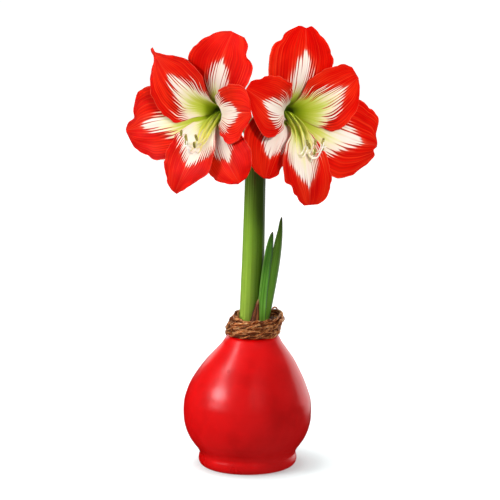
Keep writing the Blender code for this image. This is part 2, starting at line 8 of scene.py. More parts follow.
import bpy
import numpy as np
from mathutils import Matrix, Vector

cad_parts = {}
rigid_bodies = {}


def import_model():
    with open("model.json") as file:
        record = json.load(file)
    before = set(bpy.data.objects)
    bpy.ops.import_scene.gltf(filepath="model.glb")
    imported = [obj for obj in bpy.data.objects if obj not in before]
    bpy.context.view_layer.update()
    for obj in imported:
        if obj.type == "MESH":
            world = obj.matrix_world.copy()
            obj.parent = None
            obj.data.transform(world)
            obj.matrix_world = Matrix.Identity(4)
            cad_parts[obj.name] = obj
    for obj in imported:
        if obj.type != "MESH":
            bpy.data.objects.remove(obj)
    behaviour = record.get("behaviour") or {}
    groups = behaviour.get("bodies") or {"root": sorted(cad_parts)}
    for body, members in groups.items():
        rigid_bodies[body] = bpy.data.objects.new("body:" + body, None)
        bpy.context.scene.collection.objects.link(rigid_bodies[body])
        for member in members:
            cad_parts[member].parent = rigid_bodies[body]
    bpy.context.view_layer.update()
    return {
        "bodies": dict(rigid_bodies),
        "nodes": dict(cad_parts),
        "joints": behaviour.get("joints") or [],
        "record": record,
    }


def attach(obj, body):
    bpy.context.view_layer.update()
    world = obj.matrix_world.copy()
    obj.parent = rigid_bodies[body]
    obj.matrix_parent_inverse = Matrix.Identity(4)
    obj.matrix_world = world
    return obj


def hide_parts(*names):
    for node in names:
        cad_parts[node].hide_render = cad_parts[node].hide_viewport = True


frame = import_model()

# Floor, light and camera
# A white table in soft light: a broad oval lamp on the left, a small one overhead, a gridded one on
# the blooms, a wide one behind on the right and two that only add gloss, up left and behind left.
# The lens is long, a little above the blooms, and looks slightly down.


def seen(red, green, blue):
    """Linear colour with alpha from the 0 to 255 values that a screen shows."""
    share = np.array([red, green, blue]) / 255
    linear = np.where(share <= 0.04045, share / 12.92, ((share + 0.055) / 1.055) ** 2.4)
    return (*linear.tolist(), 1.0)


def finish_for(name, **sockets):
    """A material with one Principled shader: its constant sockets are set, the rest is linked later."""
    made = bpy.data.materials.new(name)
    made.use_nodes = True
    shader = made.node_tree.nodes["Principled BSDF"]
    for socket, value in sockets.items():
        shader.inputs[socket.replace("_", " ")].default_value = value
    return made, made.node_tree, shader


def plug_in(tree, socket, value):
    """Links a node's output to the socket, or sets a plain value on it."""
    if isinstance(value, bpy.types.NodeSocket):
        tree.links.new(value, socket)
    else:
        socket.default_value = value


def node(tree, kind, out=0, settings=None, **inputs):
    """One shader node's output: settings are its properties, inputs its sockets by name, with an
    underscore for a space, or in0, in1 by number."""
    made = tree.nodes.new("ShaderNode" + kind)
    for key, value in (settings or {}).items():
        setattr(made, key, value)
    for key, value in inputs.items():
        numbered = key.startswith("in") and key[2:].isdigit()
        plug_in(tree, made.inputs[int(key[2:]) if numbered else key.replace("_", " ")], value)
    return made.outputs[out]


def calc(tree, operation, *values):
    """A Math node on values or outputs."""
    sockets = {f"in{i}": value for i, value in enumerate(values)}
    return node(tree, "Math", settings={"operation": operation}, **sockets)


def between(tree, value, low, high, first=0.0, last=1.0):
    """first up to low, last from high on, and a smooth S between."""
    ends = {"From_Min": low, "From_Max": high, "To_Min": first, "To_Max": last}
    return node(tree, "MapRange", settings={"interpolation_type": "SMOOTHSTEP"}, Value=value, **ends)


def mixed(tree, share, first, second):
    """The second colour over the first by a share."""
    made = tree.nodes.new("ShaderNodeMix")
    made.data_type = "RGBA"
    for place, value in ((0, share), (6, first), (7, second)):
        plug_in(tree, made.inputs[place], value)
    return made.outputs[2]


def shades(tree, value, *stops):
    """A colour for each value from 0 to 1: stops are (value, colour), in rising order."""
    made = tree.nodes.new("ShaderNodeValToRGB")
    tree.links.new(value, made.inputs[0])
    elements = made.color_ramp.elements
    elements[0].position, elements[0].color = stops[0]
    elements[1].position, elements[1].color = stops[-1]
    for place, colour in stops[1:-1]:
        elements.new(place).color = colour
    return made.outputs[0]


def noise(tree, place, scale, detail=2.0, rough=0.5):
    """Soft noise from 0 to 1 about 0.5, at a place."""
    return node(tree, "TexNoise", Vector=place, Scale=scale, Detail=detail, Roughness=rough)


def object_place(tree):
    """Where a point lies, in metres."""
    return node(tree, "TexCoord", out="Object")


def distance_from(tree, middle):
    """How far a point lies from a middle, in metres."""
    settings = {"operation": "DISTANCE"}
    return node(tree, "VectorMath", out="Value", settings=settings, in0=object_place(tree), in1=middle)


def layer(tree, name, out="Vector"):
    """A piece's own values, as surface() stored them by name."""
    return node(tree, "Attribute", out=out, settings={"attribute_name": name})


def stretched(tree, place, *scales):
    """A place scaled apart on its three axes."""
    return node(tree, "VectorMath", settings={"operation": "MULTIPLY"}, in0=place, in1=scales)


def parts_of(tree, place):
    """The three numbers of a place."""
    made = tree.nodes.new("ShaderNodeSeparateXYZ")
    tree.links.new(place, made.inputs[0])
    return made.outputs[0], made.outputs[1], made.outputs[2]


def staged(name, mesh, material):
    """Floor or backdrop: it isn't part of the plant, and gloss doesn't mirror it."""
    mesh.materials.append(material)
    made = bpy.data.objects.new(name, mesh)
    bpy.context.scene.collection.objects.link(made)
    made.visible_glossy = False
    return made


FLOOR_REACH = 6.0  # metres
SHADOW_MIDDLE = (0.012, 0, 0)  # metres: a little to the right of the foot, away from the lamp
WALL_SIDES = 64
CAMERA_PLACE = (0.002, -2.14576, 0.60253)  # metres
CAMERA_TILT = 11.3  # degrees down from level
table_white, tree, shader = finish_for("table_white", Roughness=0.9, Specular_IOR_Level=0.0)
cloudy = noise(tree, object_place(tree), 3.0)
table = shades(tree, cloudy, (0.3, seen(186, 186, 187)), (0.7, seen(190, 190, 190)))
plug_in(tree, shader.inputs["Base Color"], table)
# The floor glows so that it stays white. Its glow is dimmed round the foot and to its right as a painted
# shadow, and near the foot it is tinted cool, a painted tint that cancels the red light bounced from the
# wax.
from_foot = distance_from(tree, (0, 0, 0))
cooler = mixed(tree, between(tree, from_foot, 0.05, 0.11), (0.88, 1, 1, 1), (1, 1, 1, 1))
plug_in(tree, shader.inputs["Emission Color"], cooler)
soft_shadow = between(tree, distance_from(tree, SHADOW_MIDDLE), 0.028, 0.064, 0.51, 0.83)
painted_contact_shadow = between(tree, from_foot, 0.036, 0.050, 0.74, 1)
plug_in(tree, shader.inputs["Emission Strength"], calc(tree, "MULTIPLY", soft_shadow, painted_contact_shadow))
floor_mesh = bpy.data.meshes.new("floor")
floor_corners = [(x * FLOOR_REACH, y * FLOOR_REACH, 0) for x, y in ((-1, -1), (1, -1), (1, 1), (-1, 1))]
floor_mesh.from_pydata(floor_corners, [], [(0, 1, 2, 3)])
floor = staged("floor", floor_mesh, table_white)
floor.visible_diffuse = False

backdrop_white, tree, shader = finish_for("backdrop_white", Roughness=1.0, Specular_IOR_Level=0.0)
shader.inputs["Base Color"].default_value = (0, 0, 0, 1)
shader.inputs["Emission Color"].default_value = (1, 1, 1, 1)
shader.inputs["Emission Strength"].default_value = 1.0
turn = np.arange(WALL_SIDES) * 2 * np.pi / WALL_SIDES
wall_foot = 0.98 * FLOOR_REACH * np.stack([np.cos(turn), np.sin(turn), 0 * turn], 1)
wall = np.concatenate([wall_foot, wall_foot + (0, 0, FLOOR_REACH)])
spot = np.arange(WALL_SIDES)
after = np.roll(spot, -1)
wall_faces = np.stack([after, spot, spot + WALL_SIDES, after + WALL_SIDES], 1)
ceiling = list(range(WALL_SIDES, 2 * WALL_SIDES))
wall_mesh = bpy.data.meshes.new("backdrop")
wall_mesh.from_pydata(wall.tolist(), [], [*wall_faces.tolist(), ceiling])
backdrop = staged("backdrop", wall_mesh, backdrop_white)
backdrop.visible_diffuse = backdrop.visible_shadow = backdrop.visible_transmission = False


def soft_lamp(name, toward, distance, size, power, aim, gloss=True, diffuse=True, spread=180):
    """An oval lamp on the side that toward points to, aimed at a point of the plant, in metres. A
    small spread in degrees is a grid that keeps its light to what it is aimed at. Without gloss it
    makes no highlight, and without diffuse nothing else."""
    lamp = bpy.data.lights.new(name, "AREA")
    lamp.shape, lamp.energy = "ELLIPSE", power
    lamp.size, lamp.size_y = size
    lamp.spread = np.radians(spread)
    made = bpy.data.objects.new(name, lamp)
    away = Vector(toward).normalized()
    made.location = Vector(aim) + distance * away
    made.rotation_euler = away.to_track_quat("Z", "Y").to_euler()
    made.visible_glossy, made.visible_diffuse = gloss, diffuse
    bpy.context.scene.collection.objects.link(made)


soft_lamp("lamp_left", (-0.88, -0.43, 0.46), 1.3, (0.54, 0.36), 9.2, (0, 0, 0.12))
soft_lamp("lamp_over", (-0.20, -0.10, 0.97), 1.3, (0.34, 0.28), 3.4, (0, 0, 0.15))
soft_lamp("lamp_sheen", (-0.66, -0.12, 0.74), 1.3, (0.22, 0.22), 2.6, (0, 0, 0.10), diffuse=False)
soft_lamp(
    "lamp_blooms", (0.30, -0.88, 0.34), 1.3, (0.2, 0.2), 0.28, (0.04, 0, 0.34), gloss=False, spread=24
)
soft_lamp("lamp_edge", (0.60, 0.80, 0.06), 1.1, (1.2, 0.8), 3.8, (0, 0, 0.10))
soft_lamp("lamp_edge_left", (-0.34, 0.92, 0.22), 1.2, (0.5, 0.5), 1.2, (0, 0, 0.10), diffuse=False)

world = bpy.data.worlds.new("studio")
bpy.context.scene.world = world
world.use_nodes = True
world.node_tree.nodes["Background"].inputs["Color"].default_value = (1, 1, 1, 1)
world.node_tree.nodes["Background"].inputs["Strength"].default_value = 0.42
world.cycles_visibility.glossy = False
bpy.context.scene.view_settings.view_transform = "Standard"

lens = bpy.data.cameras.new("camera")
lens.lens, lens.sensor_width = 200, 36  # millimetres
lens.clip_end = 50  # metres
camera = bpy.data.objects.new("camera", lens)
camera.location = CAMERA_PLACE
camera.rotation_euler = (np.radians(90 - CAMERA_TILT), 0, 0)
bpy.context.scene.collection.objects.link(camera)
bpy.context.scene.camera = camera

# Wax coat
# The bulb is dipped in red wax, which sets as a shell about 2.5 mm thick: satin, faintly uneven,
# and pressed flat to a foot where it ran down. The neck is left open.


def smooth(knots, values, at):
    """A curve through values at knots that never swings past them: a cubic whose slope is the
    harmonic mean of the two rises beside a knot, and zero at a peak."""
    knots, values = np.asarray(knots, float), np.asarray(values, float)
    rise = np.diff(values) / np.diff(knots)
    before, after = rise[:-1], rise[1:]
    total = np.where(before + after == 0, 1, before + after)
    inner = np.where(before * after > 0, 2 * before * after / total, 0)
    return cubic(knots, values, np.concatenate([rise[:1], inner, rise[-1:]]), at)


def path_through(knots, points, at):
    """A round curve through points in space: a cubic with central-difference slopes."""
    knots, points = np.asarray(knots, float), np.asarray(points, float)
    return cubic(knots, points, np.gradient(points, knots, axis=0), at)


def cubic(knots, values, slopes, at):
    """Hermite cubic between knots, from the values and slopes there."""
    at = np.clip(np.asarray(at, float), knots[0], knots[-1])
    i = np.clip(np.searchsorted(knots, at, side="right") - 1, 0, len(knots) - 2)
    step = knots[i + 1] - knots[i]
    t = (at - knots[i]) / step
    if values.ndim == 2:
        t, step = t[:, None], step[:, None]
    return (
        (1 + 2 * t) * (1 - t) ** 2 * values[i]
        + t * (1 - t) ** 2 * step * slopes[i]
        + t * t * (3 - 2 * t) * values[i + 1]
        + t * t * (t - 1) * step * slopes[i + 1]
    )


def unit(vectors):
    """Vectors over their own lengths."""
    return vectors / np.linalg.norm(vectors, axis=-1, keepdims=True)


def s_curve(share):
    """0 up to 0, 1 from 1 on, and a smooth S between."""
    share = np.clip(share, 0, 1)
    return share * share * (3 - 2 * share)


NECK_ASIDE = 4.3  # how far the neck stands to the right of the foot


def lean(height):
    """How far the middle stands to the right: an S from 60 to 110 mm up."""
    return NECK_ASIDE * s_curve((np.asarray(height, float) - 60) / 50)


def stacked(*values):
    """Arrays of like shape, or that stretch to one, side by side as the numbers of one place."""
    return np.stack(np.broadcast_arrays(*values), axis=-1)


def grid_faces(rows, columns, closed=False):
    """Four-cornered faces over a grid of points; closed joins the last column to the first."""
    index = np.arange(rows * columns).reshape(rows, columns)
    if closed:
        index = np.concatenate([index, index[:, :1]], axis=1)
    corners = (index[:-1, :-1], index[:-1, 1:], index[1:, 1:], index[1:, :-1])
    return np.stack(corners, axis=2).reshape(-1, 4)


def closed_tube(rings):
    """Points and faces of a body given as rings of points along it, with a pole at each end. The
    rings run anticlockwise seen from the last one."""
    count, sides = rings.shape[:2]
    points = np.concatenate([rings.reshape(-1, 3), rings[[0, -1]].mean(1)])
    spot = np.arange(sides)
    after = np.roll(spot, -1)
    first, last = np.full(sides, count * sides), np.full(sides, count * sides + 1)
    top = (count - 1) * sides
    ends = [np.stack([after, spot, first, first], 1), np.stack([spot + top, after + top, last, last], 1)]
    return points, np.concatenate([grid_faces(count, sides, closed=True), *ends])


def tube_layer(values, sides=None):
    """Values for closed_tube's points from those of its rings: a pole takes the mean of its ring."""
    values = np.asarray(values, float)
    if sides:
        values = np.repeat(values[:, None], sides, axis=1)
    return np.concatenate([values.reshape(-1, *values.shape[2:]), values[[0, -1]].mean(1)])


def joined(*bodies):
    """Several bodies as one: each is (points, faces), and the faces count on from body to body."""
    counts = np.cumsum([0] + [len(points) for points, _ in bodies[:-1]])
    points = np.concatenate([points for points, _ in bodies])
    return points, np.concatenate([faces + start for (_, faces), start in zip(bodies, counts)])


def surface(name, body, material, replaces, slot, **layers):
    """One piece from points in millimetres and four-cornered faces, where a corner that comes
    twice makes a triangle. Layers are one or three values for each point, read by the finish."""
    points, faces = body
    triangle = faces[:, 2] == faces[:, 3]
    kept = np.ones(faces.shape, bool)
    kept[triangle, 3] = False
    corners = np.where(triangle, 3, 4)
    mesh = bpy.data.meshes.new(name)
    mesh.vertices.add(len(points))
    mesh.vertices.foreach_set("co", (points * 0.001).ravel())
    mesh.loops.add(int(corners.sum()))
    mesh.loops.foreach_set("vertex_index", faces[kept].astype(np.int32))
    mesh.polygons.add(len(faces))
    mesh.polygons.foreach_set("loop_start", np.concatenate([[0], np.cumsum(corners)[:-1]]).astype(np.int32))
    for key, values in layers.items():
        values = np.asarray(values, float)
        single = values.ndim == 1
        stored = mesh.attributes.new(key, "FLOAT" if single else "FLOAT_VECTOR", "POINT")
        stored.data.foreach_set("value" if single else "vector", values.ravel())
    mesh.update(calc_edges=True)
    mesh.shade_smooth()
    mesh.materials.append(material)
    piece = bpy.data.objects.new(name, mesh)
    bpy.context.scene.collection.objects.link(piece)
    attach(piece, "root")
    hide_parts(replaces)
    return piece


WAX_OUTSIDE = (  # height, radius
    (0.0, 33.6), (0.2, 35.4), (0.9, 37.0), (2.6, 38.5), (5.0, 39.1), (7.6, 38.8), (10.2, 38.1),
    (13.5, 39.3), (18.0, 42.5), (24.0, 46.3), (31.0, 49.0), (38.0, 50.4), (45.0, 50.7), (52.0, 50.2),
    (60.0, 48.0), (68.0, 44.8), (76.0, 40.5), (84.5, 35.2), (89.5, 31.4), (94.5, 27.4),
    (99.5, 23.6), (103.5, 21.2), (105.0, 19.6), (105.5, 18.0), (105.1, 16.0), (104.0, 14.3),
    (102.8, 13.9),
)
WAX_INSIDE = (
    (101.0, 15.6), (97.0, 23.1), (89.5, 28.9), (76.0, 38.0), (60.0, 45.5), (45.0, 48.2),
    (31.0, 46.5), (18.0, 40.1), (9.0, 36.1), (3.8, 35.6), (2.5, 31.5),
)
WAX_AROUND, WAX_STEPS_OUTSIDE, WAX_STEPS_INSIDE = 192, 190, 26


def turned_profile(profile, count):
    """Heights and radii that run smoothly along a profile, evenly by its length, as columns."""
    profile = np.array(profile, float)
    length = np.concatenate([[0], np.cumsum(np.hypot(*np.diff(profile, axis=0).T))])
    at = np.linspace(0, length[-1], count)
    return smooth(length, profile[:, 0], at)[:, None], smooth(length, profile[:, 1], at)[:, None]


def turned_rings(height, radius, angle):
    """Points of turned rings: out from the leaning axis by the radius, at the angle round it."""
    return stacked(lean(height) + radius * np.cos(angle), radius * np.sin(angle), height)


def link_finish(tree, shader, colour, height, strength, depth, roughness=None):
    """Links what changes over a surface: its colour, a fine relief made from heights, as strong as
    strength and up to depth metres, and its roughness if that changes."""
    plug_in(tree, shader.inputs["Base Color"], colour)
    relief = node(tree, "Bump", Strength=strength, Distance=depth, Height=height)
    plug_in(tree, shader.inputs["Normal"], relief)
    if roughness is not None:
        plug_in(tree, shader.inputs["Roughness"], roughness)


wax_angle = np.arange(WAX_AROUND) * 2 * np.pi / WAX_AROUND
height, radius = turned_profile(WAX_OUTSIDE, WAX_STEPS_OUTSIDE)
settled = s_curve(height / 14) * s_curve((106 - height) / 10)  # even at the foot and at the neck
uneven = (
    0.20 * np.sin(2 * wax_angle + 0.9 + height / 40)
    + 0.14 * np.sin(3 * wax_angle + height / 17 + 2.0)
    + 0.06 * np.sin(7 * wax_angle - height / 11)
)
outside = turned_rings(height, radius + settled * uneven, wax_angle)
inside = turned_rings(*turned_profile(WAX_INSIDE, WAX_STEPS_INSIDE), wax_angle)
wax_rings = np.concatenate([outside, inside])

red_wax, tree, shader = finish_for(
    "red_wax", Roughness=0.30, Specular_IOR_Level=0.50, Specular_Tint=(1.0, 0.72, 0.76, 1.0)
)
place = object_place(tree)
cloud = noise(tree, place, 34.0, 3.0)
mottle = noise(tree, place, 130.0, 2.0)
speck = noise(tree, place, 480.0, 2.0)
wax_red = shades(tree, cloud, (0.32, seen(226, 0, 1)), (0.5, seen(242, 0, 1)), (0.68, seen(252, 1, 2)))
wax_red = mixed(tree, between(tree, mottle, 0.56, 0.72, 0.0, 0.30), wax_red, seen(252, 8, 10))
dents = calc(tree, "MULTIPLY_ADD", mottle, 0.30, calc(tree, "MULTIPLY_ADD", speck, 0.05, cloud))
link_finish(tree, shader, wax_red, dents, 0.32, 0.0012, between(tree, cloud, 0.30, 0.70, 0.27, 0.34))
surface("wax_shell", closed_tube(wax_rings), red_wax, "wax_coat", "red_wax")

# Bulb, its neck and dry scale
# The bulb fills the wax. Its neck stands out of the top in layers of dry brown skin with torn
# edges, and one long scale of the same skin stands up in front of the scape.

SKIN_AROUND, SKIN_STEPS = 144, 60
SKIN_OUTSIDE = (  # height, radius
    (3.1, 30.0), (4.3, 35.1), (9.0, 35.7), (18.0, 39.7), (31.0, 46.1), (45.0, 47.8), (60.0, 45.1),
    (76.0, 37.6), (89.5, 28.5), (96.6, 22.4), (100.6, 15.0), (103.5, 13.4), (110.5, 13.35),
)
NECK_TOP = 114.5
SCALE_FOOT, SCALE_TIP, SCALE_THICK = 109.5, 136.0, 0.75
SCALE_ROWS, SCALE_COLUMNS = 60, 22


def torn(angle, seed, count=9):
    """A torn edge round a skin, from -1 to 1: a sum of waves, each finer one smaller."""
    draw = np.random.default_rng(seed)
    number = np.arange(1, count + 1)[:, None]
    size = draw.uniform(0.4, 1.0, (count, 1)) / number**0.6
    waves = size * np.sin(number * angle + draw.uniform(0, 2 * np.pi, (count, 1)))
    return waves.sum(0) / size.sum() * 1.8


def strip(grid, thickness):
    """A thin closed strip: the grid's surface moved half its thickness to each face, and a rim."""
    rows, columns = grid.shape[:2]
    normal = unit(np.cross(np.gradient(grid, axis=0), np.gradient(grid, axis=1)))
    half = (normal * np.broadcast_to(thickness, (rows, columns))[..., None] / 2).reshape(-1, 3)
    middle = grid.reshape(-1, 3)
    index = np.arange(rows * columns).reshape(rows, columns)
    rim = np.concatenate([index[0], index[1:, -1], index[-1, -2::-1], index[-2:0:-1, 0]])
    after, behind = np.roll(rim, -1), rows * columns
    face = grid_faces(rows, columns)
    edge = np.stack([rim, after, after + behind, rim + behind], 1)
    faces = np.concatenate([face[:, ::-1], face + behind, edge])
    return np.concatenate([middle + half, middle - half]), faces


skin_angle = np.arange(SKIN_AROUND) * 2 * np.pi / SKIN_AROUND
height, radius = turned_profile(SKIN_OUTSIDE, SKIN_STEPS)
fluted = 0.16 * np.sin(31 * skin_angle) * s_curve((height - 98) / 6)
skin_rings = [turned_rings(height, radius + fluted, skin_angle)]
outer_edge = NECK_TOP - 0.6 + 1.6 * torn(skin_angle, 3)
inner_edge = NECK_TOP - 2.6 + 0.9 * torn(skin_angle, 8)
for edge, above, radius in (  # a torn edge, how far above it, radius
    (outer_edge, -1.2, 13.2), (outer_edge, 0.0, 12.9), (outer_edge, -0.2, 12.6), (outer_edge, -1.6, 12.4),
    (inner_edge, -1.0, 12.0), (inner_edge, 0.6, 11.7), (inner_edge, 0.4, 11.4), (inner_edge, -1.6, 11.2),
    (109.8, 0.0, 10.6), (109.4, 0.0, 5.0),
):
    skin_rings.append(turned_rings(np.atleast_2d(edge + above), radius, skin_angle))
skin_rings = np.concatenate(skin_rings)
skin_grain = stacked(skin_angle / (2 * np.pi) * 3.0, skin_rings[..., 2] / 60, 0.0)

along, across = np.linspace(0, 1, SCALE_ROWS)[:, None], np.linspace(-1, 1, SCALE_COLUMNS)
scale_half = smooth((0, 0.3, 0.62, 0.85, 1), (4.0, 3.6, 2.4, 1.3, 0.25), along)
offset = (scale_half + 0.12 * np.sin(23 * along) * along) * across
curl = 0.11 * offset**2 + 0.14 * np.sin(2.6 * offset + 4 * along) + 0.5 * along**3
scale_grid = stacked(
    3.3 + 5.5 * along + 0.4 * np.sin(5 * along) + offset,
    -11.6 + 0.6 * along + curl,
    SCALE_FOOT + (SCALE_TIP - SCALE_FOOT) * along + 0.4 * np.sin(9 * across) * along**6,
)
scale_grain = stacked(across * 0.12, along * 0.5, 1.0).reshape(-1, 3)

dry_skin, tree, shader = finish_for("dry_skin", Roughness=0.62, Specular_IOR_Level=0.35)
grain = layer(tree, "grain")
fibre = noise(tree, stretched(tree, grain, 60, 2.5, 1), 1.0, 3.0)
patch = noise(tree, stretched(tree, grain, 9, 5, 1), 1.0, 3.0)
skin_brown = shades(
    tree, fibre, (0.34, seen(32, 10, 2)), (0.45, seen(72, 28, 8)),
    (0.55, seen(122, 60, 26)), (0.66, seen(200, 130, 74)),
)
skin_brown = mixed(tree, between(tree, patch, 0.50, 0.72, 0.0, 0.25), skin_brown, seen(170, 102, 52))
pale_tip = between(tree, parts_of(tree, grain)[1], 0.42, 0.5, 0.0, 0.6)
skin_brown = mixed(tree, pale_tip, skin_brown, seen(196, 142, 92))
link_finish(tree, shader, skin_brown, fibre, 0.6, 0.0006, between(tree, patch, 0.3, 0.7, 0.5, 0.75))
skin_body = joined(closed_tube(skin_rings), strip(scale_grid, SCALE_THICK))
surface(
    "bulb_and_scale", skin_body, dry_skin, "bulb", "bulb_skin",
    grain=np.concatenate([tube_layer(skin_grain), scale_grain, scale_grain]),
)

# Vine ring
# Thin woody vine, wound nine times round the neck on the wax shoulder. Each turn is a few
# twisted strands, torn strips of bark lie over them, and ends curl out of it.

VINE_TURNS = (  # centre x, radius, height, rise to the back, rise to the right
    (4.5, 16.4, 108.0, 0.0, 0.0), (4.4, 19.7, 108.2, 0.2, -0.2), (4.4, 20.4, 111.3, 0.5, -0.3),
    (4.7, 17.1, 111.3, 0.2, 0.2), (5.4, 20.0, 114.5, 0.4, 0.4), (6.2, 17.0, 114.6, 0.8, 0.0),
    (7.2, 20.0, 117.5, 0.7, 0.3), (7.6, 16.9, 118.0, 1.2, 0.5), (8.2, 18.3, 120.4, 1.7, 0.7),
)
RING_FOOT, RING_HEIGHT = 107.2, 13.6
RING_SLOPE = 0.235  # how far the ring's middle moves to the right for each millimetre up
STRANDS = 4  # in a turn
# The cores' dark colour is painted shade in the gaps between the strands.
CORE_RADIUS = 1.42  # a dark strand in the middle of each turn
TURN_STEPS = 150
STRAND_SIDES = 7
VINE_LOOPS = (  # loose ends: way round the ring, height, radius, curl from and to, thickness
    (206, 113.4, 4.6, 60, 350, 0.70), (198, 108.8, 2.0, 0, 300, 0.60), (224, 111.0, 3.0, 20, 260, 0.5),
    (-24, 115.6, 3.8, -120, 170, 0.7), (-32, 110.4, 3.0, -160, 120, 0.6), (-58, 113.4, 3.4, -90, 120, 0.5),
    (50, 121.8, 2.2, -60, 170, 0.7), (262, 112.0, 4.2, 10, 150, 0.5),
)
LOOPS_OUT = 20.9  # where the loose ends leave the ring, from its middle
LOOP_STEPS = 40
BARK_STRIPS, STRIP_STEPS, STRIP_SIDES = 34, 54, 8
FULL_TURN = 2 * np.pi


def swept(path, across, radii, sides, flat=1.0, closed=True):
    """Many strands at once: path is (strands, steps, 3), across a direction beside each point. A
    ring of points stands round each, radius * cos along across and radius * flat * sin square to it."""
    ahead = unit(np.roll(path, -1, 1) - np.roll(path, 1, 1) if closed else np.gradient(path, axis=1))
    across = unit(across - (across * ahead).sum(-1, keepdims=True) * ahead)
    beside = np.cross(ahead, across)
    side = np.arange(sides) * FULL_TURN / sides
    radii = np.broadcast_to(radii, path.shape[:2])[..., None]
    wide = (radii * np.cos(side))[..., None] * across[:, :, None]
    return path[:, :, None] + wide + (radii * np.sin(side) * flat)[..., None] * beside[:, :, None]


def strand_faces(strands, steps, sides, closed):
    """Faces of many strands: a grid round each, joined end to end where closed, or else capped."""
    last = (steps - 1) * sides
    if closed:
        spot = np.arange(sides)
        after = np.roll(spot, -1)
        ends = [np.stack([spot + last, after + last, after, spot], 1)]
    else:
        spot = np.arange(1, sides - 1)
        ends = [
            np.stack([0 * spot, spot + 1, spot, spot], 1),
            np.stack([0 * spot + last, spot + last, spot + 1 + last, spot + 1 + last], 1),
        ]
    one = np.concatenate([grid_faces(steps, sides, closed=True), *ends])
    return (one + (np.arange(strands) * steps * sides)[:, None, None]).reshape(-1, 4)


def vine_line(turn, k, angle):
    """The middle of turn k at an angle: a circle that wanders a little in and out and up and down."""
    middle, radius, height, back, right = turn
    phase = 2.4 * k
    radius = radius + 0.3 * np.sin(3 * angle + phase) + 0.2 * np.sin(5 * angle + 1.7 * phase)
    height = height + back * np.sin(angle) + right * np.cos(angle) + 0.4 * np.sin(4 * angle + phase)
    return stacked(middle + radius * np.cos(angle), radius * np.sin(angle), height)


draw = np.random.default_rng(41)
turn_angle = np.arange(TURN_STEPS) * FULL_TURN / TURN_STEPS
outward = stacked(np.cos(turn_angle), np.sin(turn_angle), 0.0)
upward = np.array([0, 0, 1.0])
strand_paths, strand_radii, strand_away = [], [], []
for k, turn in enumerate(VINE_TURNS):
    for strand in range(STRANDS):
        start, sway, bulge, swelling, knot_at = draw.uniform(0, FULL_TURN, 5)
        twist = FULL_TURN * strand / STRANDS + draw.integers(3, 8) * turn_angle + start
        twist = twist + 0.8 * np.sin(2 * turn_angle + sway)
        away = np.cos(twist)[:, None] * outward + np.sin(twist)[:, None] * upward
        reach = 1.06 + 0.42 * np.sin(3 * turn_angle + bulge)
        strand_paths.append(vine_line(turn, k, turn_angle) + reach[:, None] * away)
        knot = 0.35 * np.exp(-((np.sin((turn_angle - knot_at) / 2) / 0.05) ** 2))
        strand_radii.append(draw.uniform(0.48, 0.98) + 0.12 * np.sin(7 * turn_angle + swelling) + knot)
        strand_away.append(away)
strand_age = draw.uniform(0, 1, len(strand_paths))
cores = [vine_line(turn, k, turn_angle) for k, turn in enumerate(VINE_TURNS)]
cores.append((cores[-1] + cores[-2]) / 2)
for core in cores:
    strand_paths.append(core)
    strand_radii.append(np.full(TURN_STEPS, CORE_RADIUS))
    strand_away.append(outward)
strand_age = np.concatenate([strand_age, np.full(len(cores), 2.0)])
strand_count = len(strand_paths)
strand_rings = swept(np.array(strand_paths), np.array(strand_away), np.array(strand_radii), STRAND_SIDES)
strand_body = strand_rings.reshape(-1, 3), strand_faces(strand_count, TURN_STEPS, STRAND_SIDES, closed=True)
strand_grain = stacked(
    np.arange(STRAND_SIDES) / STRAND_SIDES,
    3.0 * turn_angle[:, None],
    strand_age[:, None, None],
).reshape(-1, 3)

share = np.linspace(0, 1, STRIP_STEPS)
start = draw.uniform(0, FULL_TURN, BARK_STRIPS)[:, None]
strip_angle = start + draw.uniform(0.9, 3.2, BARK_STRIPS)[:, None] * share
low = draw.uniform(0, 1, BARK_STRIPS)[:, None]
high = np.clip(low + draw.uniform(-0.35, 0.35, BARK_STRIPS)[:, None], 0, 1)
level = low + (high - low) * s_curve(share)
wander = 1.3 * level * np.sin(strip_angle) + 0.7 * np.sin(3 * strip_angle + 7 * low)
loose_end = draw.uniform(0.0, 1.6, BARK_STRIPS)[:, None] * share**8
strip_radius = 21.4 - 0.5 * level - 2.2 * level**4 - 1.4 * (1 - level) ** 6
tucked = 0.5 * (1 - s_curve(share / 0.1))
strip_radius = strip_radius + 0.5 * np.sin(5 * strip_angle + 9 * low) + loose_end - tucked
strip_path = stacked(
    NECK_ASIDE + 3.2 * level + strip_radius * np.cos(strip_angle),
    strip_radius * np.sin(strip_angle),
    RING_FOOT + RING_HEIGHT * level + wander,
)
tilt = 0.5 * np.sin(2.0 * strip_angle + 5 * low)[..., None]
strip_across = np.cos(tilt) * upward + np.sin(tilt) * stacked(np.cos(strip_angle), np.sin(strip_angle), 0.0)
taper = 0.25 + 0.75 * np.sin(np.pi * np.clip(share, 0.02, 0.98)) ** 0.45
strip_half = draw.uniform(0.35, 0.80, BARK_STRIPS)[:, None] * taper
strip_half = strip_half + 0.08 * np.sin(19 * strip_angle + 3 * low)
strip_rings = swept(strip_path, strip_across, strip_half, STRIP_SIDES, flat=0.36, closed=False)
bark_body = strip_rings.reshape(-1, 3), strand_faces(BARK_STRIPS, STRIP_STEPS, STRIP_SIDES, closed=False)
bark_grain = stacked(
    np.arange(STRIP_SIDES) / STRIP_SIDES,
    3.0 * strip_angle[..., None],
    draw.uniform(0, 0.7, BARK_STRIPS)[:, None, None],
).reshape(-1, 3)

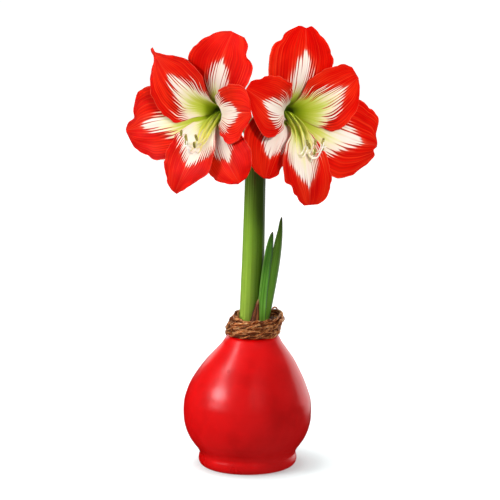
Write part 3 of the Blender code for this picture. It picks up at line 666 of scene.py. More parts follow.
loops, loop_grains = [], []
for way, height, radius, first, last, thick in VINE_LOOPS:
    way = np.radians(way)
    out = np.array([np.cos(way), np.sin(way), 0.0])
    beside = np.array([-np.sin(way), np.cos(way), 0.0])
    middle = np.array([NECK_ASIDE + RING_SLOPE * (height - RING_FOOT), 0, height]) + LOOPS_OUT * out
    angle = np.radians(np.linspace(first, last, LOOP_STEPS))
    spiral = radius * np.linspace(0.7, 1.1, LOOP_STEPS)[:, None]
    loop_away = np.cos(angle)[:, None] * beside + np.sin(angle)[:, None] * upward
    loop_path = middle + spiral * loop_away + 1.4 * np.sin(angle / 2)[:, None] * out
    thin = thick * s_curve(np.linspace(0.3, 4, LOOP_STEPS)) * s_curve(np.linspace(4, 0.3, LOOP_STEPS))
    loops.append(swept(loop_path[None], loop_away[None], thin[None], STRAND_SIDES, closed=False)[0])
    loop_grains.append(
        stacked(np.arange(STRAND_SIDES) / STRAND_SIDES, 3.0 * angle[:, None], draw.random()).reshape(-1, 3)
    )
loop_body = np.array(loops).reshape(-1, 3), strand_faces(len(loops), LOOP_STEPS, STRAND_SIDES, closed=False)

vine_bark, tree, shader = finish_for(
    "vine_bark", Roughness=0.38, Specular_IOR_Level=0.50, Specular_Tint=(1.0, 0.66, 0.42, 1.0)
)
grain = layer(tree, "grain")
age = parts_of(tree, grain)[2]
fibre = noise(tree, stretched(tree, grain, 4.0, 1.6, 17.0), 1.0, 3.0, 0.55)
flake = noise(tree, object_place(tree), 420.0, 3.0)
fresh_bark = shades(
    tree, fibre, (0.34, seen(94, 30, 6)), (0.46, seen(170, 78, 30)),
    (0.55, seen(232, 146, 80)), (0.66, seen(255, 224, 168)),
)
old_bark = shades(
    tree, fibre, (0.34, seen(52, 14, 2)), (0.50, seen(124, 50, 18)), (0.66, seen(218, 134, 72))
)
bark = mixed(tree, between(tree, age, 0.2, 0.8), fresh_bark, old_bark)
bark = mixed(tree, between(tree, flake, 0.55, 0.68, 0.0, 0.5), bark, seen(255, 200, 134))
bark = mixed(tree, between(tree, flake, 0.46, 0.36, 0.0, 0.4), bark, seen(66, 16, 2))
# Painted shade: the middle cores are darkened so that the gaps between the strands look shaded.
bark = mixed(tree, between(tree, age, 1.0, 1.5, 0.0, 0.7), bark, seen(56, 14, 2))
dull_core = between(tree, age, 1.0, 1.5, 0.0, 0.5)
bark_roughness = calc(tree, "ADD", between(tree, fibre, 0.3, 0.7, 0.26, 0.46), dull_core)
ridges = calc(tree, "MULTIPLY_ADD", flake, 0.3, fibre)
link_finish(tree, shader, bark, ridges, 0.7, 0.0006, bark_roughness)
surface(
    "wound_vine", joined(strand_body, bark_body, loop_body), vine_bark, "vine_ring", "vine",
    grain=np.concatenate([strand_grain, bark_grain, *loop_grains]),
)

# Scape
# One stout flower stem, a little flattened and faintly ribbed. It is a fresh light green low
# down, dark at the head with a tinge of red, and has a thin waxy bloom.

SCAPE = (  # height, centre x, centre y, radius
    (99.3, 2.2, 0.4, 9.1), (119.0, 2.6, 0.4, 8.95), (172.0, 4.65, 0.3, 8.75), (223.0, 5.95, 0.1, 8.25),
    (246.0, 6.55, 0.0, 8.1), (252.0, 6.55, 0.0, 8.9),
)
SCAPE_STEPS, SCAPE_SIDES = 240, 96
heights, x, y, radii = np.array(SCAPE).T
rise = np.linspace(heights[0], heights[-1], SCAPE_STEPS)
middle = path_through(heights, stacked(x, y, heights), rise)
scape_angle = np.arange(SCAPE_SIDES) * FULL_TURN / SCAPE_SIDES
ribs = 0.09 * np.sin(17 * scape_angle + 0.6 * np.sin(rise[:, None] / 30))
ribs = ribs + 0.05 * np.sin(29 * scape_angle + 1.0)
rounded = 1.2 * (1 - s_curve((heights[-1] - rise) / 2.2))
scape_radius = (smooth(heights, radii, rise) - 0.12 - rounded)[:, None] + ribs
scape_rings = stacked(
    middle[:, :1] + scape_radius * np.cos(scape_angle),
    middle[:, 1:2] + 0.94 * scape_radius * np.sin(scape_angle),
    rise[:, None],
)
scape_grain = stacked(scape_angle / FULL_TURN, ((rise - rise[0]) / (rise[-1] - rise[0]))[:, None], 0.0)

scape_green, tree, shader = finish_for("scape_green", Roughness=0.42, Specular_IOR_Level=0.22)
grain = layer(tree, "grain")
around, run, _ = parts_of(tree, grain)
turn = calc(tree, "MULTIPLY", around, FULL_TURN)
looped = node(tree, "CombineXYZ", in0=calc(tree, "COSINE", turn), in1=calc(tree, "SINE", turn), in2=run)
streak = noise(tree, stretched(tree, looped, 13, 13, 1.6), 1.0, 3.0)
blotch = noise(tree, stretched(tree, looped, 2.0, 2.0, 5.0), 1.0, 2.0)
stem = shades(
    tree, run, (0.0, seen(170, 200, 74)), (0.30, seen(152, 188, 60)), (0.62, seen(128, 170, 46)),
    (0.86, seen(82, 114, 24)), (1.0, seen(56, 72, 14)),
)
stem = mixed(tree, between(tree, streak, 0.36, 0.66, 0.0, 0.4), stem, seen(112, 154, 36))
stem = mixed(tree, between(tree, streak, 0.56, 0.72, 0.0, 0.4), stem, seen(178, 202, 98))
# Painted shade: the right side of the scape is darker, where less of the lamps' light falls.
painted_shade_side = between(tree, calc(tree, "COSINE", calc(tree, "ADD", turn, 0.35)), -0.35, 0.85, 0.0, 0.88)
stem = mixed(tree, painted_shade_side, stem, seen(54, 84, 10))
reddened = between(tree, blotch, 0.46, 0.68, 0.0, 0.6)
reddened = calc(tree, "MULTIPLY", between(tree, run, 0.70, 0.98), reddened)
stem = mixed(tree, reddened, stem, seen(98, 44, 22))
link_finish(tree, shader, stem, streak, 0.35, 0.0005, between(tree, blotch, 0.3, 0.7, 0.36, 0.50))
surface(
    "flower_stem", closed_tube(scape_rings), scape_green, "scape", "scape_green",
    grain=tube_layer(scape_grain),
)

# Leaves
# Two young strap leaves beside the scape, channelled towards it, blunt at the tip and thickest
# along the middle. Fine veins run their whole length.

# line is (height, centre x, centre y, full width) up the blade, facing how far the width turns from
# +X in degrees, and olive how far the green is mixed with olive, from 0 to 1.
LEAVES = {
    "leaf_short": {
        "facing": 50, "olive": 0.0,
        "line": (
            (99.3, 12.0, -6.9, 6.4), (114.0, 12.3, -6.9, 8.0), (140.0, 13.8, -7.0, 10.2),
            (157.7, 15.9, -7.4, 10.2), (172.0, 17.9, -7.8, 9.6), (182.0, 18.9, -8.2, 6.8),
            (188.0, 19.5, -8.45, 3.4), (190.0, 19.7, -8.5, 0.7),
        ),
    },
    "leaf_tall": {
        "facing": 47, "olive": 1.0,
        "line": (
            (99.3, 14.4, 1.6, 5.8), (114.0, 14.6, 1.6, 7.6), (122.9, 16.3, 1.8, 10.0),
            (133.5, 18.2, 1.8, 11.2), (156.0, 22.0, 1.5, 12.2), (177.8, 25.2, 1.5, 9.2),
            (190.0, 26.4, 1.4, 5.2), (197.5, 26.8, 1.25, 2.6), (200.0, 26.9, 1.2, 0.7),
        ),
    },
}
LEAF_ROWS, LEAF_COLUMNS = 150, 30
leaf_skin, tree, shader = finish_for(
    "leaf_skin", Roughness=0.38, Specular_IOR_Level=0.14, Specular_Tint=(0.8, 1.0, 0.7, 1.0)
)
grain = layer(tree, "grain")
over, run, olive = parts_of(tree, grain)
vein = noise(tree, stretched(tree, grain, 11, 1.0, 5.0), 1.0, 2.5)
band = noise(tree, stretched(tree, grain, 2.6, 0.8, 9.0), 1.0, 1.0)
# Darker towards the top: painted shade for the shaded inside of the channel up there.
leaf = shades(
    tree, run, (0.0, seen(142, 198, 68)), (0.35, seen(120, 194, 64)), (0.58, seen(98, 172, 52)),
    (0.72, seen(54, 116, 28)), (0.9, seen(52, 100, 28)), (1.0, seen(34, 66, 20)),
)
leaf = mixed(tree, between(tree, band, 0.42, 0.62, 0.0, 0.5), leaf, seen(42, 92, 18))
leaf = mixed(tree, between(tree, vein, 0.50, 0.66, 0.0, 0.5), leaf, seen(144, 190, 84))
leaf = mixed(tree, between(tree, over, -0.80, -1.0, 0.0, 0.5), leaf, seen(138, 178, 88))
leaf = mixed(tree, calc(tree, "MULTIPLY", olive, 0.6), leaf, seen(86, 112, 34))
shaded_side = between(tree, over, 0.05, 0.75, 0.0, 0.95)
shaded_side = calc(tree, "MULTIPLY", shaded_side, between(tree, olive, 0, 1, 1.0, 0.35))
leaf = mixed(tree, shaded_side, leaf, seen(20, 54, 4))
leaf = mixed(tree, between(tree, run, 0.955, 1.0, 0.0, 0.8), leaf, seen(60, 56, 20))
dull_rim = between(tree, calc(tree, "ABSOLUTE", over), 0.88, 0.97, 0.0, 0.5)
leaf_roughness = calc(tree, "ADD", between(tree, band, 0.35, 0.65, 0.32, 0.46), dull_rim)
link_finish(tree, shader, leaf, vein, 0.4, 0.0005, leaf_roughness)
for name, shape in LEAVES.items():
    heights, x, y, width = np.array(shape["line"]).T
    share = np.linspace(0, 1, LEAF_ROWS) ** 0.94
    rise = heights[0] + (heights[-1] - heights[0]) * share
    across = np.sin(np.linspace(-1, 1, LEAF_COLUMNS) * np.pi / 2)
    where = path_through(heights, stacked(x, y, heights), rise)
    where[:, 2] = rise
    half = smooth(heights, width, rise)[:, None] / 2
    facing = np.radians(shape["facing"])
    side = np.array([np.cos(facing), np.sin(facing), 0])
    inward = np.array([-side[1], side[0], 0])
    sag = (0.35 * np.abs(across) ** 1.6 - 0.025 * np.cos(5 * np.pi * across)) * half
    leaf_grid = where[:, None] + (half * across)[..., None] * side + sag[..., None] * inward
    thick = 0.35 + 0.95 * (1 - across**2) * np.clip(half / 3, 0.15, 1)
    leaf_grain = stacked(across, share[:, None], shape["olive"]).reshape(-1, 3)
    surface(
        name + "_blade", strip(leaf_grid, thick), leaf_skin, name, "leaf_green",
        grain=np.concatenate([leaf_grain, leaf_grain]),
    )

# Withered bracts
# Two papery bracts once closed round the buds and have dried behind the stalks: thin, pleated
# lengthwise, tan with pinkish veins.

BRACTS = {"spathe_left": 112, "spathe_right": 62}  # the way each leans, in degrees from +X
BRACT_FOOT = (6.55, 0, 252.9)
BRACT_HEIGHT, BRACT_THICK = 33, 0.45
BRACT_ROWS, BRACT_COLUMNS = 90, 34
papery, tree, shader = finish_for("papery", Roughness=0.7, Specular_IOR_Level=0.3)
grain = layer(tree, "grain")
vein = noise(tree, stretched(tree, grain, 9, 1.2, 3.0), 1.0, 3.0)
paper = shades(
    tree, vein, (0.32, seen(140, 92, 62)), (0.48, seen(196, 162, 112)), (0.70, seen(226, 206, 160))
)
green_foot = between(tree, parts_of(tree, grain)[1], 0.0, 0.45, 0.7, 0.0)
link_finish(tree, shader, mixed(tree, green_foot, paper, seen(120, 138, 62)), vein, 0.6, 0.0005)
for name, facing in BRACTS.items():
    out = np.array([np.cos(np.radians(facing)), np.sin(np.radians(facing)), 0])
    side = np.array([-out[1], out[0], 0])
    along, across = np.linspace(0, 1, BRACT_ROWS)[:, None], np.linspace(-1, 1, BRACT_COLUMNS)
    half = smooth((0, 0.25, 0.6, 0.85, 1), (2.0, 3.1, 3.0, 1.9, 0.3), along)
    pleat = 0.9 * across**2 - 0.22 * np.cos(9 * across + 3 * along) - 0.3 * np.sin(7 * along + 2 * across)
    reach = 7.6 + 10 * along**1.3 - pleat
    bract_grid = np.array(BRACT_FOOT) + (half * across)[..., None] * side + reach[..., None] * out
    bract_grid = bract_grid + BRACT_HEIGHT * along[..., None] * upward
    bract_grain = stacked(across, along, facing / 50).reshape(-1, 3)
    surface(
        name + "_paper", strip(bract_grid, BRACT_THICK), papery, name, "papery_bract",
        grain=np.concatenate([bract_grain, bract_grain]),
    )

# Flower stalks
# Each bloom's stalk bends forward from the head of the scape, swells to a three-lobed ovary
# and opens to a tube, whose green throat holds the foot of the tepals and the filaments.

# throat is where the tepals meet. The bloom faces yaw degrees right of the front and pitch up. foot
# is where its stalk leaves the scape. bunch is the middle line of its filaments, as (side, rise,
# depth) in the bloom's own frame.
BLOOMS = {
    "left": {
        "throat": (-21.0, -35.0, 287.3), "yaw": -30, "pitch": 5, "foot": (2.6, -1.0),
        "bunch": (
            (0, 0, 2.0), (0.8, -4.7, 13), (2.0, -11.5, 25), (2.6, -19.0, 37), (1.8, -21.5, 48),
            (0, -19.5, 57), (-1, -13.0, 62),
        ),
    },
    "right": {
        "throat": (30.4, -30.0, 286.3), "yaw": 26, "pitch": 7, "foot": (10.6, -1.0),
        "bunch": (
            (0, 0, 2.0), (-0.6, -4.5, 13), (-1.8, -11.5, 26), (-2.8, -20.5, 37), (-2.0, -28.0, 47),
            (1, -28.0, 56), (4, -20.0, 62),
        ),
    },
}
STALK_RADIUS, OVARY_LENGTH, THROAT_DEPTH = 3.2, 31.0, 15.0
STALK_SIDES, STALK_STEPS, OVARY_STEPS, THROAT_STEPS = 48, 46, 60, 22
OVARY = (  # share of its length, radius
    (0, 3.1), (0.12, 4.6), (0.28, 6.0), (0.45, 5.6), (0.58, 4.4), (0.72, 5.0), (0.88, 7.2), (1, 8.5),
)


def bloom_frame(bloom):
    """The throat, and the directions to the bloom's right, up and out along its axis."""
    yaw, pitch = np.radians(bloom["yaw"]), np.radians(bloom["pitch"])
    axis = np.array([np.sin(yaw) * np.cos(pitch), -np.cos(yaw) * np.cos(pitch), np.sin(pitch)])
    right = unit(np.cross([0, 0, 1.0], axis))
    return np.array(bloom["throat"]), right, np.cross(axis, right), axis


def carried(path, radii, sides, start):
    """Rings along a path: each ring's first direction is the last one's, laid square to the path."""
    ahead = unit(np.gradient(path, axis=0))
    across = np.empty_like(path)
    for i, direction in enumerate(ahead):
        start = start - direction * (start @ direction)
        start = across[i] = start / np.linalg.norm(start)
    beside = np.cross(ahead, across)
    angle = (np.arange(sides) * FULL_TURN / sides)[:, None]
    radii = np.broadcast_to(np.asarray(radii).reshape(len(path), -1), (len(path), sides))[..., None]
    return path[:, None] + radii * (np.cos(angle) * across[:, None] + np.sin(angle) * beside[:, None])


stalk_skin, tree, shader = finish_for("stalk_skin", Roughness=0.42, Specular_IOR_Level=0.4)
grain = layer(tree, "grain")
_, run, inside = parts_of(tree, grain)
vein = noise(tree, stretched(tree, grain, 9, 2.2, 5.0), 1.0, 2.5)
outer = shades(
    tree, run, (0.0, seen(104, 128, 46)), (0.35, seen(112, 150, 54)),
    (0.7, seen(130, 164, 62)), (1.0, seen(150, 120, 50)),
)
outer = mixed(tree, between(tree, vein, 0.46, 0.66, 0.0, 0.5), outer, seen(76, 104, 34))
# Painted shade: the inside of the tube darkens towards its bottom, where shade falls in the throat.
painted_shade_inside = shades(tree, run, (0.0, seen(44, 56, 8)), (0.5, seen(84, 104, 16)), (1.0, seen(140, 158, 34)))
link_finish(tree, shader, mixed(tree, inside, outer, painted_shade_inside), vein, 0.3, 0.0005)
stalk_angle = np.arange(STALK_SIDES) * FULL_TURN / STALK_SIDES
for name, bloom in BLOOMS.items():
    throat, right, up, axis = bloom_frame(bloom)
    foot = np.array([*bloom["foot"], 252.3])
    neck = throat - OVARY_LENGTH * axis
    bend = neck - 5 * axis - 9 * upward
    ends = (foot, foot + 8 * upward, (foot + bend) / 2 + 5 * upward, bend, neck)
    stalk = path_through(np.arange(5), ends, np.linspace(0.2, 3.9, STALK_STEPS))
    stalk = np.concatenate([[foot, foot + 0.5 * upward], stalk])
    share = np.linspace(0, 1, OVARY_STEPS)
    path = np.concatenate([stalk, neck + OVARY_LENGTH * share[:, None] * axis])
    radii = np.concatenate([np.full(len(stalk), STALK_RADIUS), smooth(*zip(*OVARY), share)])[:, None]
    swollen = np.concatenate([np.zeros(len(stalk)), np.exp(-(((share - 0.3) / 0.2) ** 2))])[:, None]
    radii = radii * (1 + 0.08 * swollen * np.cos(3 * stalk_angle)) + 0.05 * np.sin(12 * stalk_angle)
    outer_rings = carried(path, radii, STALK_SIDES, np.array([1.0, 0, 0]))
    wall = np.linspace(0, 1, THROAT_STEPS)
    cup_radii = smooth((0, 0.4, 0.75, 1), (1.6, 3.0, 5.6, 7.9), wall)
    cup_path = throat + THROAT_DEPTH * (wall - 1)[:, None] * axis
    cup = carried(cup_path, cup_radii, STALK_SIDES, outer_rings[-1, 0] - throat)
    steps = np.concatenate([np.linspace(0, 1, len(path)), wall[::-1]])[:, None]
    hollow = np.concatenate([np.zeros(len(path)), np.ones(len(wall))])[:, None]
    surface(
        name + "_stalk_and_ovary", closed_tube(np.concatenate([outer_rings, cup[::-1]])), stalk_skin,
        name + "_flower_stalk", "scape_green", grain=tube_layer(stacked(stalk_angle / 3, steps, hollow)),
    )

# Tepals
# Three outer sepals stand behind three inner petals. Each is a thin blade folded along its rib,
# which leaves the tube and flares back, with a cream star down the rib, a green foot, fine
# lengthwise veins and a waved margin.

STATIONS = (0.0, 0.20, 0.35, 0.50, 0.65, 0.78, 0.88, 0.95, 1.0)  # share of a tepal's length
STAR_STATIONS = (0.2, 0.35, 0.45, 0.55, 0.65, 0.75, 0.85)
# azimuth is the way a tepal points, anticlockwise from the bloom's right, and length is its rib's.
# The rib starts root out from the axis, and its angle to the axis goes from flare_start to flare,
# later with more power. It curves aside by swing and twists by roll. fold is the bend across the
# blade at five places from foot to tip. All these angles are in degrees. left and right are the
# widths beside the rib at STATIONS, seen with the tip up, and wave is the phase of the margin in
# radians. A nick is (share of the length, place beside the rib, depth, radius).
# star gives the cream's widths to the left and right of the rib at STAR_STATIONS, and frayed how
# deep its edge is cut. green is the share of the length that is green along the rib, and narrow,
# which is 2 where it isn't given, is how much shorter the green is towards the margins.
SEPAL = {"root": 7.7, "flare_start": 14, "power": 0.98, "fold": (50, 38, 20, 5, -5)}
PETAL = {"root": 6.0, "flare_start": 8, "power": 1.05, "fold": (50, 43, 30, 11, -3)}
TEPALS = {
    "left": {
        "sepal_top": {
            **SEPAL, "azimuth": 62, "length": 83, "swing": 3, "roll": 8, "flare": 104, "wave": 0.5,
            "left": (6, 13, 20, 26, 26, 21, 15.5, 9.5, 1.5),
            "right": (6, 13, 19, 25, 28, 27, 19.5, 16, 10.5),
            "nicks": ((0.89, -20, 2.5, 4),),
            "star": ((8, 7, 5.6, 4.6, 2.6, -3, -10), (8, 7.4, 8, 8.6, 6.4, -0.5, -9)),
            "green": 0.31, "frayed": 3.5,
        },
        "petal_upper": {
            **PETAL, "azimuth": 129, "length": 78, "flare": 106, "wave": 2.0,
            "left": (5, 14, 25, 24.5, 20, 12.5, 4, 1.8, 1.5),
            "right": (5, 9, 16, 24.3, 22.5, 14.5, 5.5, 1.2, 1.0),
            "star": ((20, 14, 8.5, 4.6, 1, -7, -14), (16, 10.5, 8, 5.0, 1.0, -7, -14)),
            "green": 0.35, "frayed": 6.0,
        },
        "sepal_side": {
            **SEPAL, "azimuth": 196, "length": 74, "swing": -2, "flare": 106, "wave": 3.3,
            "left": (6, 13, 21, 27.5, 27, 21.5, 16.5, 10.5, 2),
            "right": (6, 14, 22, 28, 30.5, 25.5, 13, 6, 1.5),
            "nicks": ((0.90, -9, 3.5, 4),),
            "star": ((16, 14, 11.2, 7.3, 3.4, 0.3, -7), (16, 13, 9.8, 7.6, 5.4, 2.4, -5)),
            "green": 0.42, "narrow": 0.5, "frayed": 4.0,
        },
        "petal_lower": {
            **PETAL, "azimuth": 267, "length": 76, "swing": -10, "flare": 104, "wave": 4.4,
            "left": (5, 8.5, 14.5, 22, 23.5, 15, 8.5, 4.5, 2),
            "right": (5, 11, 16, 19, 19, 17, 13.5, 9.5, 3),
            "star": ((20, 20, 21, 15, 5.5, -4, -12), (24, 20, 15, 8.6, 2.4, -6, -14)),
            "green": 0.25, "narrow": 0.5, "frayed": 4.5,
        },
        "sepal_lower": {
            **SEPAL, "azimuth": 312, "length": 71, "swing": -2, "flare": 101, "wave": 5.2,
            "left": (6, 12, 18, 21.5, 22.8, 23, 19.5, 14, 7),
            "right": (6, 12, 17, 19.5, 19, 17, 13, 7.5, 1.5),
            "star": ((14, 12, 8.6, 8.0, 7.2, 0.5, -9), (14, 10, 8, 6.5, 3.5, -3, -10)),
            "green": 0.15, "frayed": 3.5,
        },
        "petal_inward": {
            **PETAL, "azimuth": 7, "length": 64.3, "roll": 4, "flare": 91.5, "wave": 1.0,
            "left": (5, 8, 11, 17.5, 21, 22.5, 21.5, 17.5, 9),
            "right": (5, 7.5, 11, 16, 23, 20.5, 13, 8, 3),
            "star": ((12, 12, 13, 10, 7.8, 5.2, -1), (12, 9, 10, 11, 8.5, 4.8, -3)),
            "green": 0.12, "frayed": 5.5,
        },
    },
    "right": {
        "sepal_top": {
            **SEPAL, "azimuth": 91, "length": 77, "swing": -2, "flare": 102, "wave": 1.7,
            "left": (6, 14, 24, 31.5, 32.5, 30, 22.5, 14.5, 6),
            "right": (6, 12, 17.5, 22.5, 23.5, 19.8, 14.5, 10, 5),
            "nicks": ((0.89, 22, 2, 4), (1.0, -0.5, 1.5, 2.5)),
            "star": ((4, 5.5, 7.4, 7.0, 5.4, 1.0, -7), (8, 6.5, 6.4, 6.6, 5.4, 0.8, -8)),
            "green": 0.27, "frayed": 3.0,
        },
        "petal_upper": {
            **PETAL, "azimuth": 30, "length": 64, "flare": 97, "wave": 0.2,
            "fold": (50, 44, 34, 16, 2),
            "left": (5, 9, 14.5, 22, 22, 19.5, 17, 14, 9.5),
            "right": (5, 12, 21, 26.3, 23.5, 19.5, 13, 6, 0.5),
            "star": ((12, 8, 7, 4.4, 2.6, 1.2, -3), (24, 20, 15, 10.5, 7.4, 3.0, -2)),
            "green": 0.46, "narrow": 0.7, "frayed": 6.0,
        },
        "sepal_side": {
            **SEPAL, "azimuth": 327, "length": 74, "swing": 8, "flare": 104, "wave": 2.9,
            "fold": (50, 33, 12, 2, -5),
            "left": (6, 14, 23, 29, 30, 27.5, 25, 22, 13),
            "right": (6, 13, 22, 31, 33.3, 27, 18.5, 12.5, 7),
            "nicks": ((0.99, 10, 3.5, 6), (1.0, -4.5, 3, 2.5)),
            "star": ((16, 10, 7.6, 7.2, 7.0, 3.0, -3), (20, 20, 18.5, 14.5, 9.4, 4.2, -2)),
            "green": 0.40, "narrow": 0.6, "frayed": 4.5,
        },
        "petal_lower": {
            **PETAL, "azimuth": 260, "length": 86, "swing": 4, "flare": 104, "wave": 4.0,
            "left": (5, 8, 10.5, 14, 17, 18.5, 16.5, 13, 7.5),
            "right": (4.2, 6.8, 11, 20, 24, 22.5, 14.5, 10, 4),
            "nicks": ((0.84, -17, 2.5, 4), (0.93, -11, 1.5, 2.5)),
            "star": ((14, 11, 8.2, 7.6, 6.4, 3.0, -2), (12, 13, 16.5, 18, 15.5, 7.5, -0.5)),
            "green": 0.42, "narrow": 0.3, "frayed": 3.5,
        },
        "sepal_lower": {
            **SEPAL, "azimuth": 213, "length": 67, "swing": 18, "roll": 14, "flare": 100, "wave": 5.6,
            "left": (6, 11, 13, 13.5, 12.5, 11, 9.5, 8, 3),
            "right": (6, 13, 21.5, 28.5, 29, 23.5, 16, 9, 2),
            "star": ((13, 11, 10, 8.6, 5, -1, -8), (14, 14, 13, 12.5, 11.5, 5, -6)),
            "green": 0.15, "frayed": 3.5,
        },
        "petal_inward": {
            **PETAL, "azimuth": 167, "length": 74, "swing": -10, "flare": 98, "wave": 0.9,
            "left": (4.2, 6.0, 7.4, 20.5, 25.8, 19, 9.5, 3.5, 1),
            "right": (5, 10, 16, 21, 22, 20, 16.5, 12.5, 7),
            "nicks": ((0.94, -14, 1.5, 3),),
            "star": ((10, 10, 12, 10, 5.6, 0.8, -8), (12, 9, 8, 6.4, 3.4, -1.0, -9)),
            "green": 0.14, "frayed": 6.0,
        },
    },
}
TEPAL_ROWS, TEPAL_COLUMNS = 104, 60
TEPAL_THICK = 0.66
HAIRS = 78.0  # radians from rib to margin: the hair lines at the star's edge are about 2 mm apart


def rib(frame, tepal, along):
    """The midrib: it leaves the throat by the root radius and turns from flare_start to flare as it
    runs out. Its points, and the directions to its side and to its front."""
    throat, right, up, axis = frame
    fine = np.linspace(0, 1.12, 225)
    opened = (tepal["flare"] - tepal["flare_start"]) * fine ** tepal["power"]
    turn = np.radians(tepal["flare_start"] + opened)
    step = tepal["length"] * (fine[1] - fine[0])
    out = tepal["root"] + step * np.concatenate([[0], np.cumsum(np.sin(turn[1:]) + np.sin(turn[:-1])) / 2])
    depth = 0.4 + step * np.concatenate([[0], np.cumsum(np.cos(turn[1:]) + np.cos(turn[:-1])) / 2])
    azimuth = np.radians(tepal["azimuth"] + tepal.get("swing", 0) * fine**2)[:, None]
    outward = np.cos(azimuth) * right + np.sin(azimuth) * up
    points = throat + depth[:, None] * axis + out[:, None] * outward
    ahead = unit(np.gradient(points, fine, axis=0))
    side = -np.sin(azimuth) * right + np.cos(azimuth) * up
    side = unit(side - (side * ahead).sum(1, keepdims=True) * ahead)
    normal = np.cross(ahead, side)
    roll = np.radians(tepal.get("roll", 0) * fine)[:, None]
    side, normal = side * np.cos(roll) + normal * np.sin(roll), normal * np.cos(roll) - side * np.sin(roll)
    return [
        stacked(*(np.interp(along, fine, numbers) for numbers in line.T))
        for line in (points, side, normal)
    ]


def tepal_surface(frame, tepal, seed):
    """Points over a tepal, and where each lies along and beside the rib. The line across the rib is
    an arc whose bend is fold over the width, cut by two margins and drawn in at nicks. Its height
    adds a wave that grows to the margin, a groove on the rib, a slow pucker and a fine frill."""
    draw = np.random.default_rng(seed)
    along = np.linspace(0, 1, TEPAL_ROWS)[:, None]
    even = np.linspace(-1, 1, TEPAL_COLUMNS)
    across = 0.65 * even + 0.35 * np.sin(even * np.pi / 2)
    left, right = smooth(STATIONS, tepal["left"], along), smooth(STATIONS, tepal["right"], along)
    offset = across * np.where(across > 0, left, right)
    place = np.broadcast_to(along, offset.shape)
    length = tepal["length"]
    for spot, reach, depth, radius in tepal.get("nicks", ()):
        outward = unit(np.array([(spot - 0.6) * length, reach]))
        pull = depth * np.exp(-(((place - spot) * length) ** 2 + (offset - reach) ** 2) / radius**2)
        place = place - outward[0] * pull / length
        offset = offset - outward[1] * pull
    phase = draw.uniform(0, FULL_TURN, 6)
    frill = sum(
        size * np.sin(waves * np.pi * along + start + 1.3 * np.sign(across))
        for waves, size, start in zip((11, 19, 31), (0.30, 0.20, 0.10), phase)
    )
    frill = frill * np.abs(across) ** 5 * s_curve(along / 0.4)
    offset = offset + 0.9 * frill * np.sign(across)
    place, offset, frill = place.ravel(), offset.ravel(), frill.ravel()
    middle, side, normal = rib(frame, tepal, place)
    inner = np.clip(place, 0, 0.9)
    left, right = smooth(STATIONS, tepal["left"], inner), smooth(STATIONS, tepal["right"], inner)
    width = np.maximum(np.where(offset > 0, left, right), 5)
    bend = np.radians(smooth((0, 0.25, 0.5, 0.75, 1), tepal["fold"], place)) / width
    bend = np.where(np.abs(bend) < 1e-5, 1e-5, bend)
    rolling = np.sin(5 * np.pi * place + tepal["wave"] + 1.1 * np.sign(offset))
    wave = (offset / width) ** 2 * np.sin(place) * rolling
    groove = -0.35 * np.exp(-((offset / 1.5) ** 2)) * s_curve(place / 0.2) * (1 - place)
    pucker = 0.16 * np.sin(0.55 * offset + phase[3]) * np.sin(9 * place + phase[4]) * s_curve(place / 0.4)
    lift = (1 - np.cos(bend * offset)) / bend + wave + groove + pucker + 0.8 * frill
    points = middle + (np.sin(bend * offset) / bend)[:, None] * side + lift[:, None] * normal
    shape = (TEPAL_ROWS, TEPAL_COLUMNS)
    return points.reshape(*shape, 3), place.reshape(shape), offset.reshape(shape), across


def inside_star(tepal, place, offset):
    """How far inside the cream star a point lies, in millimetres: the star's width on that side
    less the distance from the rib."""
    stations = (0.0, *STAR_STATIONS, 1.0)
    left, right = (np.interp(place, stations, (wide[0] + 4, *wide, wide[-1] - 8)) for wide in tepal["star"])
    return np.where(offset > 0, left, right) - np.abs(offset)


petal_skin, tree, shader = finish_for("petal_skin", Roughness=0.50, Specular_IOR_Level=0.06)
grain, field = layer(tree, "grain"), layer(tree, "field")
over, run, _ = parts_of(tree, grain)
star, frayed, off_green = parts_of(tree, field)
streak = noise(tree, stretched(tree, grain, 21.0, 0.8, 40.0), 1.0, 0.5)
fine = noise(tree, stretched(tree, grain, 34.0, 1.3, 71.0), 1.0, 1.0)
broad = noise(tree, stretched(tree, grain, 1.8, 2.4, 31.0), 1.0, 2.0)
jitter = noise(tree, stretched(tree, grain, 3.0, 1.6, 23.0), 1.0, 1.0)
hair = calc(tree, "SINE", calc(tree, "MULTIPLY_ADD", jitter, 14.0, calc(tree, "MULTIPLY", over, HAIRS)))
shaken = calc(tree, "MULTIPLY", calc(tree, "SUBTRACT", fine, 0.5), 2.4)
shaken = calc(tree, "MULTIPLY_ADD", calc(tree, "SUBTRACT", streak, 0.5), 2.6, shaken)
shaken = calc(tree, "MINIMUM", calc(tree, "MULTIPLY_ADD", hair, 0.55, shaken), 1.15)
reach = calc(tree, "MULTIPLY_ADD", shaken, frayed, star)
red = shades(tree, broad, (0.32, seen(202, 4, 0)), (0.50, seen(218, 16, 2)), (0.68, seen(230, 38, 10)))
red = mixed(tree, between(tree, streak, 0.54, 0.74, 0.0, 0.5), red, seen(238, 60, 28))
red = mixed(tree, between(tree, fine, 0.44, 0.28, 0.0, 0.6), red, seen(184, 2, 0))
red = mixed(tree, between(tree, hair, 0.2, -0.9, 0.0, 0.3), red, seen(168, 2, 0))
fringe = between(tree, calc(tree, "DIVIDE", calc(tree, "ABSOLUTE", star), frayed), 1.3, 0.2)
fringe = calc(tree, "MULTIPLY", fringe, between(tree, hair, 0.3, -0.7, 0.0, 0.8))
red = mixed(tree, fringe, red, seen(142, 6, 0))
cream = shades(tree, broad, (0.3, seen(236, 220, 204)), (0.7, seen(246, 234, 222)))
cream = mixed(tree, between(tree, fine, 0.44, 0.26, 0.0, 0.3), cream, seen(226, 200, 160))
